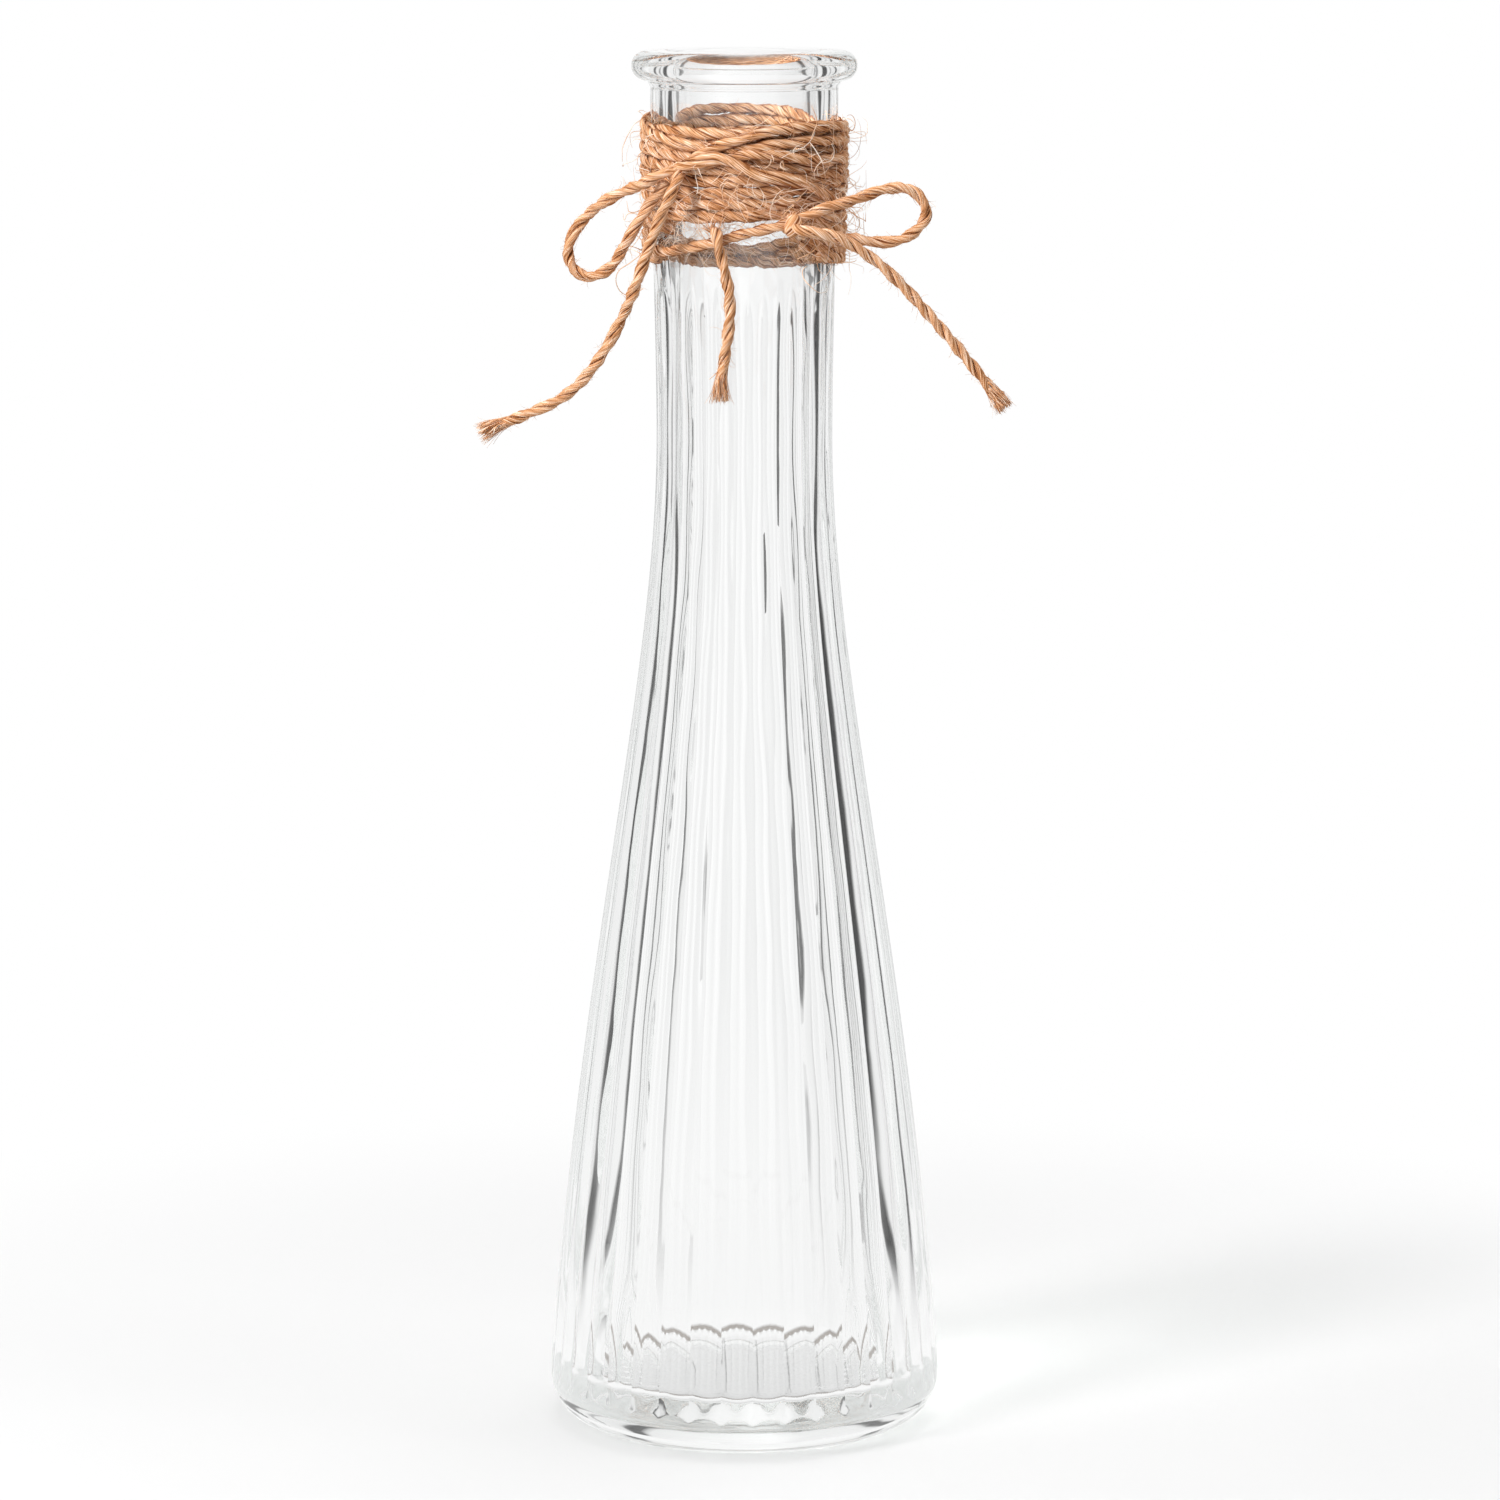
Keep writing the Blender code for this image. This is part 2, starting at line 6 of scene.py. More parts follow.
import bpy
import numpy as np
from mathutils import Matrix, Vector


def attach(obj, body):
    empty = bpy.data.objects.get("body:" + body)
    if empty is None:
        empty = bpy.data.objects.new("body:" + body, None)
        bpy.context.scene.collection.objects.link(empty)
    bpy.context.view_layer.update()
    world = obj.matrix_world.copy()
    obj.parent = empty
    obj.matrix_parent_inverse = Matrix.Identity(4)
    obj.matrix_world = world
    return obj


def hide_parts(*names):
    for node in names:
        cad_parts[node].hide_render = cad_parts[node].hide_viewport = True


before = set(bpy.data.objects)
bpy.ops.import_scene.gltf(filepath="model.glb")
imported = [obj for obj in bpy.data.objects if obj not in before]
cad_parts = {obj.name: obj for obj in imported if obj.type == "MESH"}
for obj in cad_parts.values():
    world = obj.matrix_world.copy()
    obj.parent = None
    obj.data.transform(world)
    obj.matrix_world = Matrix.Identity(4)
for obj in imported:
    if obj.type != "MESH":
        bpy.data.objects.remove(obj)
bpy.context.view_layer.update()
mm = 0.001
fullTurn = 2.0 * math.pi
anyPhase = 6.28           # the most that a random wave is shifted
up = np.array((0.0, 0.0, 1.0))


# Small helpers

def blendValue(low, high, share):
    return low + (high - low) * share


def smoothStep(share):
    share = np.clip(share, 0.0, 1.0)
    return share * share * (3.0 - 2.0 * share)


def unit(rows):
    return rows / np.maximum(np.linalg.norm(rows, axis=-1, keepdims=True), 1e-12)


def grey(level):
    return (level, level, level, 1.0)


# Shader nodes: a helper adds a node, feeds it and gives back its output

def newMaterial(name):
    material = bpy.data.materials.new(name)
    material.use_nodes = True
    return material, material.node_tree


def addNode(tree, kind, fed, **settings):
    node = tree.nodes.new("ShaderNode" + kind)
    for name, value in settings.items():
        setattr(node, name, value)
    for key, value in fed.items():
        if isinstance(value, bpy.types.NodeSocket):
            tree.links.new(value, node.inputs[key])
        else:
            node.inputs[key].default_value = value
    return node


def lightPath(tree, ray):
    return addNode(tree, "LightPath", {}).outputs[ray]


def objectPlace(tree):
    return addNode(tree, "TexCoord", {}).outputs["Object"]


def attributeOf(tree, name, output):
    return addNode(tree, "Attribute", {}, attribute_name=name).outputs[output]


def splitOf(tree, vector):
    return addNode(tree, "SeparateXYZ", {0: vector}).outputs


def lengthOf(tree, vector):
    return addNode(tree, "VectorMath", {0: vector}, operation="LENGTH").outputs["Value"]


def mathOf(tree, operation, first, second, clamp=False):
    return addNode(tree, "Math", {0: first, 1: second}, operation=operation, use_clamp=clamp).outputs[0]


def mapRange(tree, value, fromLow=0.0, fromHigh=1.0, toLow=0.0, toHigh=1.0, smooth=False):
    ends = {"Value": value, "From Min": fromLow, "From Max": fromHigh, "To Min": toLow, "To Max": toHigh}
    return addNode(
        tree, "MapRange", ends, interpolation_type="SMOOTHSTEP" if smooth else "LINEAR").outputs["Result"]


def rampOf(tree, share, stops):
    ramp = addNode(tree, "ValToRGB", {"Fac": share})
    while len(ramp.color_ramp.elements) < len(stops):
        ramp.color_ramp.elements.new(0.5)
    for element, (place, colour) in zip(ramp.color_ramp.elements, stops):
        element.position = place
        element.color = (*colour, 1.0)
    return ramp.outputs["Color"]


def noiseOf(tree, vector, scale, detail, stretch=None):
    if stretch:
        vector = addNode(tree, "Mapping", {"Vector": vector, "Scale": (1.0, 1.0, stretch)}).outputs[0]
    return addNode(tree, "TexNoise", {"Vector": vector, "Scale": scale, "Detail": detail}).outputs["Fac"]


def bumpOf(tree, height, strength, distance):
    return addNode(tree, "Bump", {"Strength": strength, "Distance": distance, "Height": height}).outputs[0]


def mixColour(tree, share, first, second, way="MIX"):
    # inputs 6 and 7 and output 2 are the node's colours
    return addNode(tree, "Mix", {0: share, 6: first, 7: second}, data_type="RGBA", blend_type=way).outputs[2]


def mixShader(tree, share, first, second):
    return addNode(tree, "MixShader", {0: share, 1: first, 2: second}).outputs[0]


# Studio: camera, lamps, world, floor and a light tent whose dark strips draw the edges of clear glass

studio = {
    "cameraPlace": (0.001, -1.085, 0.2934),
    "cameraPitch": 8.89,      # degrees down
    "lens": 145.2,
    "sensor": 36.0,
    "nearest": 0.01, "farthest": 20.0,
    "worldLight": 0.46,       # what the world gives matt surfaces
    "floorLight": 0.70,       # and what the far floor gives them
    # what glass sees above the tent, by the sine of the height: a dark gap, then the ceiling
    "ceiling": ((0.0, 0.86), (0.69, 0.86), (0.71, 0.15), (0.82, 0.15), (0.85, 0.94), (1.0, 0.94)),
    # name, place, what it shines at, width, height, watts
    "lamps": (
        ("keySoftbox", (-0.88, -0.80, 0.75), (0, 0, 0.16), 0.28, 0.80, 18.0),
        ("topSoftbox", (0.15, 0.05, 1.25), (0, 0, 0.10), 0.80, 0.80, 7.0),
        ("rightStrip", (0.95, -0.35, 0.45), (0, 0, 0.14), 0.18, 0.90, 0.7),
    ),
    "notInGlass": "topSoftbox",
    "floorRadius": 0.52, "floorSides": 96,
    "floorGrey": 0.715, "floorRoughness": 0.9, "floorShine": 0.1,
    "clearFrom": 0.10, "clearTo": 0.27,       # between these the floor turns into plain background
    # through glass the table is a painted glow, with a painted shadow under the vase's foot and white round
    # it
    "paintedShadowUnderVase": 0.66, "roundVase": 0.97,
    "underFrom": 0.020, "underTo": 0.032,
    # the tent's strips run on over the floor's painted glow, fading towards the vase
    "stripsFrom": 0.06, "stripsTo": 0.44,
    "tentRadius": 0.50, "tentHeight": 0.75, "tentSunk": 0.01, "tentSides": 128,
    # degrees from straight behind towards +X, and how bright the tent is there
    "tentStrips": (
        (-180, 0.95), (-59, 0.90), (-56.5, 0.06), (-51, 0.06), (-48, 0.87), (-43, 0.87), (-41, 0.15),
        (-39, 0.87), (-33, 0.88), (-31, 0.12), (-27, 0.12), (-25, 0.87), (-11, 0.89), (-5, 1.04), (-1, 1.0),
        (19, 0.84), (21, 0.12), (25, 0.06), (27, 0.8), (37, 0.86), (38.5, 0.1), (40, 0.86), (45.5, 0.86),
        (48, 0.03), (55.5, 0.03), (58, 0.87), (65, 0.87), (68.5, 0.2), (72, 0.87), (90, 0.90), (128, 0.3),
        (137, 0.92),
    ),
    "bounces": 96,            # light is led round inside the thick base and ring many times
}


def makeCamera():
    bpy.ops.object.camera_add(
        location=studio["cameraPlace"],
        rotation=(math.radians(90.0 - studio["cameraPitch"]), 0.0, 0.0),
    )
    camera = bpy.context.object
    camera.name = "studioCamera"
    camera.data.lens = studio["lens"]
    camera.data.sensor_width = studio["sensor"]
    camera.data.clip_start = studio["nearest"]
    camera.data.clip_end = studio["farthest"]
    bpy.context.scene.camera = camera


def glassRay(tree):
    return mathOf(
        tree, "ADD", lightPath(tree, "Is Glossy Ray"), lightPath(tree, "Is Transmission Ray"), clamp=True)


def makeWorld():
    world = bpy.data.worlds.new("whiteStudio")
    bpy.context.scene.world = world
    world.use_nodes = True
    tree = world.node_tree
    # 1 to the camera, less to matt surfaces, and the ceiling to glass
    matt = mapRange(tree, lightPath(tree, "Is Camera Ray"), toLow=studio["worldLight"])
    sky = splitOf(tree, addNode(tree, "TexCoord", {}).outputs["Generated"])
    ceiling = rampOf(tree, sky["Z"], [(lift, (bright,) * 3) for lift, bright in studio["ceiling"]])
    background = tree.nodes["Background"]
    background.inputs["Color"].default_value = grey(1.0)
    tree.links.new(mapRange(tree, glassRay(tree), toLow=matt, toHigh=ceiling), background.inputs["Strength"])


def makeLamps():
    for name, place, aim, width, height, power in studio["lamps"]:
        turn = (Vector(aim) - Vector(place)).to_track_quat("-Z", "Y").to_euler()
        bpy.ops.object.light_add(type="AREA", location=place, rotation=turn)
        lamp = bpy.context.object
        lamp.name = name
        lamp.data.shape = "RECTANGLE"
        lamp.data.size = width
        lamp.data.size_y = height
        lamp.data.energy = power
        lamp.visible_glossy = lamp.visible_transmission = name != studio["notInGlass"]


def stripBrightness(tree, place):
    split = splitOf(tree, place)
    turn = mathOf(tree, "ARCTAN2", split["X"], split["Y"])
    share = addNode(tree, "Math", {0: turn, 1: 1.0 / fullTurn, 2: 0.5}, operation="MULTIPLY_ADD").outputs[0]
    strips = [((degrees + 180.0) / 360.0, (bright,) * 3) for degrees, bright in studio["tentStrips"]]
    return rampOf(tree, share, strips)


def makeFloor():
    bpy.ops.mesh.primitive_circle_add(
        vertices=studio["floorSides"], radius=studio["floorRadius"], fill_type="NGON")
    floor = bpy.context.object
    floor.name = "paleFloor"
    material, tree = newMaterial("paleTable")
    shader = tree.nodes["Principled BSDF"]
    shader.inputs["Base Color"].default_value = grey(studio["floorGrey"])
    shader.inputs["Roughness"].default_value = studio["floorRoughness"]
    shader.inputs["Specular IOR Level"].default_value = studio["floorShine"]
    # far off it is white to the camera, and gives matt surfaces a plain level of light
    level = mapRange(tree, lightPath(tree, "Is Camera Ray"), toLow=studio["floorLight"])
    glow = addNode(tree, "Emission", {"Color": grey(1.0), "Strength": level}).outputs[0]
    place = objectPlace(tree)
    distance = lengthOf(tree, place)

    def farShare(what):
        return mapRange(tree, distance, studio[what + "From"], studio[what + "To"], smooth=True)

    clear = mixShader(tree, farShare("clear"), shader.outputs[0], glow)
    # painted light: glass rays see the table as a glow, dimmed to a painted shadow under the vase's foot
    table = mixColour(tree, farShare("under"), grey(studio["paintedShadowUnderVase"]), grey(studio["roundVase"]))
    seen = mixColour(tree, farShare("strips"), table, stripBrightness(tree, place))
    inGlass = addNode(tree, "Emission", {"Color": seen}).outputs[0]
    both = mixShader(tree, glassRay(tree), clear, inGlass)
    tree.links.new(both, tree.nodes["Material Output"].inputs["Surface"])
    floor.data.materials.append(material)


def makeTent():
    bpy.ops.mesh.primitive_cylinder_add(
        vertices=studio["tentSides"], radius=studio["tentRadius"], depth=studio["tentHeight"],
        end_fill_type="NOTHING", location=(0.0, 0.0, studio["tentHeight"] / 2 - studio["tentSunk"]),
    )
    tent = bpy.context.object
    tent.name = "lightTent"
    material, tree = newMaterial("tentCloth")
    glow = addNode(tree, "Emission", {"Color": stripBrightness(tree, objectPlace(tree))}).outputs[0]
    tree.links.new(glow, tree.nodes["Material Output"].inputs["Surface"])
    tent.data.materials.append(material)
    for ray in ("camera", "diffuse", "shadow", "volume_scatter"):
        setattr(tent, f"visible_{ray}", False)


# Shape and look of the glass: one closed turned body with pressed reeds

vaseGlass = {
    "height": 0.250, "baseRadius": 0.0356, "heelRadius": 0.0083, "heelBand": 0.0022,
    "footLean": 0.0786, "footPull": 0.080, "topPull": 0.0424, "waistHeight": 0.181,
    "waistRadius": 0.01585, "neckTopRadius": 0.0168,
    "collarBottom": 0.2432, "collarStep": 0.0005, "collarHeight": 0.0014,
    "rimOverhang": 0.0029, "rimThickness": 0.0054, "rimFrom": -68.0,    # degrees round the ring
    "boreRadius": 0.0128, "lipRound": 0.0017,
    "floorThickness": 0.0095, "floorCorner": 0.0022, "floorCrown": 0.0004,
    "bodyWallShare": 0.215, "floorWallShare": 0.17,       # the wall over the outside's radius
    "waistWallRun": 0.031, "floorWallRun": 0.045,
    "recessDepth": 0.0007, "recessFall": 0.35,    # the under side is hollowed inside its bearing ring
    "recessRadius": 0.0245, "bearingRadius": 0.0262,
    "ribCount": 38, "ribDepth": 0.0005, "ribTop": 0.211, "ribRun": 0.009, "columnsPerRib": 11,
    "ribTurn": -2.2,          # degrees
    "heelFadeLow": 0.002, "heelFadeHigh": 0.012, "heelReeds": 0.2,      # the reeds fade out on the heel
    # the inside swells behind each reed, low down, and its corner with the floor waves
    "innerRibDepth": 0.00020, "innerRibTop": 0.030, "innerRibFade": 0.012,
    "innerRibFrom": 0.80, "innerRibOver": 0.15,
    "cornerWave": 0.0004, "cornerWaveTop": 0.016, "cornerWaveFade": 0.004,
    # the inside was never ground, so it ripples, which draws wavering streaks
    "ripple": 0.00002, "rippleKinds": 14, "rippleCounts": (2, 30), "rippleLengths": (0.025, 0.11),
    "rippleFrom": 0.002, "rippleRunIn": 0.015, "rippleTop": 0.240, "rippleRunOut": 0.004,
    "ior": 1.5,
    "waveScale": 260.0, "waveStretch": 0.16, "waveStrength": 0.2, "waveDepth": 0.00015,
    # painted shade: a dark grey-brown ring round the corner of the floor, and the clear glass round it
    "paintedShadeRingWidth": 0.0013, "paintedShadeRingCore": 0.3, "paintedShadeRingTurn": 68.0,
    "paintedShadeRing": ((0.0, (0.17, 0.145, 0.125)), (1.0, (0.99, 0.992, 0.991))),
    "smearScale": 45.0, "smearFrom": 0.45, "smearTo": 0.75, "smearRoughness": 0.03,
    "lampThrough": (0.80, 0.81, 0.805, 1.0),
    "tint": (0.80, 0.88, 0.84, 1.0), "tintDensity": 1.2,
    "weld": 2e-6, "smoothAngle": 24.0,
}


def flarePoint(share):
    g = vaseGlass
    foot = g["heelRadius"] + g["heelBand"]
    lean = g["footPull"] * g["footLean"]
    radii = (g["baseRadius"], g["baseRadius"] - lean, g["waistRadius"], g["waistRadius"])
    heights = (foot, foot + g["footPull"], g["waistHeight"] - g["topPull"], g["waistHeight"])
    rest = 1.0 - share
    weights = (rest ** 3, 3 * rest * rest * share, 3 * rest * share * share, share ** 3)
    return sum(w * r for w, r in zip(weights, radii)), sum(w * h for w, h in zip(weights, heights))


flareTable = np.array([flarePoint(step / 400) for step in range(401)])


def bodyRadius(height):
    g = vaseGlass
    height = np.asarray(height, float)
    foot = g["heelRadius"] + g["heelBand"]
    flare = np.interp(height, flareTable[:, 1], flareTable[:, 0])
    low = g["baseRadius"] + g["footLean"] * (foot - height)
    neckShare = smoothStep((height - g["waistHeight"]) / (g["collarBottom"] - g["waistHeight"]))
    neck = blendValue(g["waistRadius"], g["neckTopRadius"], neckShare)
    return np.where(height <= foot, low, np.where(height >= g["waistHeight"], neck, flare))


def innerRadius(height):
    g = vaseGlass
    lowShare = smoothStep((height - g["floorThickness"]) / g["floorWallRun"])
    wall = blendValue(g["floorWallShare"], g["bodyWallShare"], lowShare)
    neckWall = 1.0 - g["boreRadius"] / g["waistRadius"]
    wall = blendValue(neckWall, wall, smoothStep((g["waistHeight"] - height) / g["waistWallRun"]))
    return np.where(height >= g["waistHeight"], g["boreRadius"], bodyRadius(height) * (1.0 - wall))


# Twine: its routes repeat the part's own, in mm

jute = {
    "looseWidth": 2.15, "looseLay": 9.0, "looseLobe": 0.70,     # the lobe: how round two plies are together
    "woundWidth": 2.4, "woundLay": 11.0, "woundLobe": 0.72,
    "woundDepth": 0.80, "lyingDepth": 0.9,     # what share of its width a flattened turn is thick
    "woundRadius": 18.0,
    "offGlass": 0.03, "looseOffGlass": 0.1, "looseOnBand": 0.43, "knotOut": 4.05,
    "crease": 0.20, "woundCrease": 0.26, "creaseWidth": 0.17, "creaseCrowding": 0.33,
    # paintedSplitShade, paintedContactShade and darkest set the painted shade in ply splits and where turns
    # meet
    "splitDepth": 0.055, "splitWidth": 0.15, "splitPlaces": (-0.62, 0.05, 0.66), "paintedSplitShade": 0.42,
    "ridge": 0.024, "ridgeKinds": 8, "slub": 0.045, "twistWander": 0.45,
    "paintedContactShade": 0.9, "darkest": 1.3,
    "ringSpacing": 0.36, "ringSides": 28,
    "bandLow": 221.7, "bandPitch": 2.05, "bandFrom": -0.22, "bandTurns": 7.1, "bandBackRise": 4.2,
    "bandEnd": 23.0, "bandWaver": 0.13, "bandLift": 0.12, "lyingWaver": 0.10,
    "crossLay": 24.0, "crossWidth": 2.5, "upperLay": 13.0, "slantLay": 11.0, "underLay": 12.0,
    "knotWidth": 1.9, "knotLay": 8.0, "knotLobe": 0.85, "knotTurns": (150, 590), "knotSteps": 40,
}

knotLeftPlace = (-35.1, 7.6)      # degrees from the front towards +X, mm above the band's lowest turn
knotRightPlace = (23.1, -1.1)
# degrees, mm above the band's lowest turn, mm of lift off the layer beneath
lowerTurnUpper = (
    (34, -2.3), (60, -2.8), (90, -3.2), (130, -5.6), (180, -8.1), (230, -6.6), (270, -4.1), (296, -3.6),
)
lowerTurnMiddle = (
    (40, -4.7), (60, -5.0), (90, -5.2), (130, -7.2, 0.5), (180, -9.0, 0.9), (230, -8.2, 0.6), (270, -6.2),
    (296, -6.6),
)
lowerTurnLower = (
    (46, -7.4), (60, -7.9), (90, -8.5), (130, -9.4), (180, -10.1), (230, -9.4), (270, -7.9), (300, -8.3),
)
# more of the same winding at the sides and the back, where it lies two deep in places
sideTurnHigh = (
    (30, 0.2, -1.4), (44, -0.7, -0.2), (60, -0.9), (90, -1.1), (130, 0.6), (180, 2.2), (230, 1.4), (270, 0.1),
    (300, -0.6), (314, -1.4, -1.2),
)
sideTurnMiddle = (
    (96, -2.4, -1.5), (112, -2.0, -0.4), (140, -1.0), (180, 0.0), (230, -0.7), (270, -2.0), (296, -2.2),
    (312, -3.0, -1.2),
)
sideTurnLow = (
    (36, -5.6, -1.4), (50, -6.3, -0.3), (70, -6.7), (95, -6.9), (125, -8.0, -0.2), (150, -8.8, -1.5),
)
lowerStrand = (
    (303, -6.9, 0), (315, -6.4, 0), (328, -5.7, 0), (344, -4.6, 0.1), (354, -3.7, 0.5), (363, -3.0, 1.2),
    (371, -2.4, 2.0), (377, -1.9, 2.6), (383, -1.2, 2.8),
)
crossStrand = (
    (-35.2, 8.3, 1.3), (-32.4, 8.6, 1.25), (-29, 8.9, 1.1), (-24, 9.3, 0.8), (-19, 9.8, 0.5),
    (-12, 10.0, 0.2), (-2, 8.9, 0), (8, 7.4, 0), (21, 6.5, 0), (36, 5.0, -0.1), (48, 3.3, -0.3),
    (56, 2.0, -1.1),
)
upperStrand = (
    (-36, 7.9, -1.2), (-31, 9.0, -0.9), (-24, 10.6, -0.5), (-14, 12.2, -0.1), (-3, 13.3, 0), (8, 14.5, 0),
    (20, 15.2, 0), (36, 15.5, 0), (50, 15.5, -0.1), (62, 15.3, -0.7), (74, 14.8, -1.6),
)
slantStrand = (
    (-76, 14.7, -1.6), (-66, 14.5, -0.8), (-56, 13.9, -0.2), (-45, 13.2, -0.1), (-31, 12.4, -0.6),
    (-18, 11.9, -1.0), (-2, 11.6, -0.9), (10, 12.3, -0.3), (28, 12.9, 0), (46, 12.9, 0), (60, 12.7, -0.4),
    (74, 12.3, -1.6),
)
underStrand = (
    (-30, 7.6, -1.2), (-20, 9.0, -1.1), (-10, 10.0, -0.9), (-2, 10.6, -0.4), (5, 10.8, 0), (14, 10.8, 0),
    (29.5, 10.1, 0), (44, 9.6, 0), (58, 9.6, -0.2), (68, 9.4, -0.8), (78, 9.2, -1.6),
)
# mm from the knot's centre: across +X, towards the back +Y, up
loopLeft = (
    (0.6, -0.7, 0.9), (-2.4, -0.4, -0.2),
    (-5.7, 0.3, -1.9), (-9.1, 1.5, -3.4), (-12.9, 2.9, -5.4), (-15.8, 4.1, -7.8), (-17.8, 4.9, -10.3),
    (-19.1, 5.3, -12.8), (-19.2, 5.4, -15.5), (-18.1, 5.1, -17.6), (-16.0, 4.7, -18.8), (-13.7, 4.1, -18.2),
    (-11.4, 3.6, -16.6), (-9.7, 3.1, -13.9), (-8.1, 2.6, -11.0), (-6.5, 2.3, -8.4), (-4.9, 2.0, -6.0),
    (-3.4, 1.6, -4.0), (-1.6, 0.8, -1.6),
)
loopRight = (
    (0.9, -0.3, 0.3),
    (6.3, 0.4, 2.5), (9.6, 1.4, 3.3), (13.2, 2.6, 4.5), (16.4, 3.6, 5.5), (19.5, 4.4, 5.8), (22.1, 5.0, 4.9),
    (23.8, 5.3, 2.7), (24.0, 5.4, 0.6), (22.6, 5.3, -1.5), (20.1, 5.0, -3.2), (17.3, 4.7, -3.8),
    (14.5, 4.4, -3.7), (11.8, 4.1, -3.3), (9.1, 3.7, -2.9), (6.3, 3.0, -2.6), (4.0, 2.0, -1.9),
    (1.4, 0.8, -0.8),
)
tailLeft = (
    (0.8, -0.2, 0.6),
    (-0.4, -2.6, -2.4), (-1.4, -3.0, -4.6), (-2.7, -2.6, -7.4), (-3.9, -1.9, -10.4), (-5.1, -1.1, -13.7),
    (-6.2, -0.4, -16.9), (-7.6, 0.3, -20.8), (-9.4, 1.1, -25.1), (-11.7, 1.7, -29.6), (-14.4, 2.3, -33.9),
    (-17.6, 2.9, -37.8), (-21.2, 3.4, -40.6), (-25.0, 3.8, -42.4), (-28.7, 4.2, -43.9), (-31.9, 4.5, -45.1),
    (-35.0, 4.8, -46.6),
)
tailRight = (
    (0.3, -0.8, -0.2),
    (1.7, -2.9, -1.1), (4.4, -3.1, -1.5), (7.3, -2.4, -2.2), (10.3, -1.5, -3.5), (13.3, -0.6, -5.5),
    (16.2, 0.2, -7.7), (18.8, 1.0, -10.2), (21.9, 1.7, -13.4), (25.2, 2.4, -17.2), (28.7, 3.1, -21.2),
    (31.9, 3.8, -25.1), (34.4, 4.3, -28.2), (36.6, 4.7, -30.9), (38.2, 5.0, -33.4),
)
tailCentrePlace = (-16.0, -4.6)   # where it hooks over the lower strand
tailCentre = (
    (-0.4, -0.7, 1.7),
    (0.0, -2.7, 1.6), (0.1, -3.3, 0.2), (0.5, -3.2, -1.4), (0.9, -2.9, -3.0), (1.6, -2.4, -6.0),
    (2.1, -2.0, -8.5), (2.3, -1.7, -11.0), (2.2, -1.3, -14.6), (1.7, -1.0, -18.3), (1.1, -0.8, -22.2),
    (0.7, -0.7, -24.9), (0.5, -0.6, -28.2),
)


def placeOn(degrees, height, radius):
    turn = np.radians(degrees)
    return np.stack((radius * np.sin(turn), -radius * np.cos(turn), height + 0.0 * turn), axis=-1)


def neckRadius(height):
    return bodyRadius(np.asarray(height) * mm) / mm


def bandRadius(height):
    return neckRadius(height) + jute["offGlass"] + jute["woundWidth"] * jute["woundDepth"] / 2


def looseOnGlass(height):
    return neckRadius(height) + jute["looseOffGlass"] + jute["looseWidth"] / 2


def looseOnBand(height):
    bandDepth = jute["woundWidth"] * jute["woundDepth"]
    return neckRadius(height) + bandDepth + jute["looseWidth"] * jute["looseOnBand"]


def knotCentre(spot):
    height = jute["bandLow"] + spot[1]
    return placeOn(spot[0], height, float(neckRadius(height)) + jute["knotOut"])


def hookPlace(higher=0.0, further=0.0):
    height = jute["bandLow"] + tailCentrePlace[1]
    return placeOn(tailCentrePlace[0], height + higher, float(looseOnGlass(height)) + further)


def lengthAlong(line):
    return np.concatenate(([0.0], np.cumsum(np.linalg.norm(np.diff(line, axis=0), axis=1))))


def rowsAt(at, along, rows):
    return np.stack([np.interp(at, along, rows[:, axis]) for axis in range(3)], axis=-1)


def smoothRoute(stops, spacing, stepsPerStop=24):
    stops = np.asarray(stops, float)
    ends = np.vstack((2 * stops[0] - stops[1], stops, 2 * stops[-1] - stops[-2]))
    share = np.linspace(0.0, 1.0, stepsPerStop, endpoint=False)[:, None]
    runs = []
    for before, start, end, after in zip(ends, ends[1:], ends[2:], ends[3:]):
        runs.append(0.5 * (
            2 * start + (end - before) * share
            + (2 * before - 5 * start + 4 * end - after) * share ** 2
            + (3 * start - before - 3 * end + after) * share ** 3
        ))
    line = np.vstack(runs + [stops[-1:]])
    along = lengthAlong(line)
    even = np.linspace(0.0, along[-1], max(int(round(along[-1] / spacing)), 4) + 1)
    return rowsAt(even, along, line)


def lyingLine(stops, layerRadius):
    spread = math.radians(1.0) * jute["woundRadius"]
    flat = [(stop[0] * spread, stop[1], stop[2] if len(stop) > 2 else 0.0) for stop in stops]
    line = smoothRoute(flat, jute["ringSpacing"])
    height = jute["bandLow"] + line[:, 1]
    return placeOn(line[:, 0] / spread, height, layerRadius(height) + line[:, 2])


def waver(along, rng, shortest, longest, count=6):
    total = np.zeros_like(along)
    for _ in range(count):
        wave = rng.uniform(shortest, longest)
        total += np.sin(fullTurn * along / wave + rng.uniform(0, anyPhase)) * rng.uniform(0.4, 1.0)
    return total / (0.7 * math.sqrt(count))


def ringQuads(base, count):
    # base: the number of each ring's first point; every ring is joined to the one after it
    here = np.arange(count)[None, :]
    after = (here + 1) % count
    corners = (base + here, base + after, base + count + after, base + count + here)
    return np.stack(corners, axis=-1).reshape(-1, 4).tolist()


def stackParts(parts):
    joined = {key: [] for key in ("points", "strandPlace", "crevice", "paleness")}
    faces = []
    count = 0
    for part in parts:
        for key in joined:
            joined[key].append(part[key])
        faces += [[corner + count for corner in face] for face in part["faces"]]
        count += len(part["points"])
    made = {key: np.concatenate(values) for key, values in joined.items()}
    made["faces"] = faces
    return made


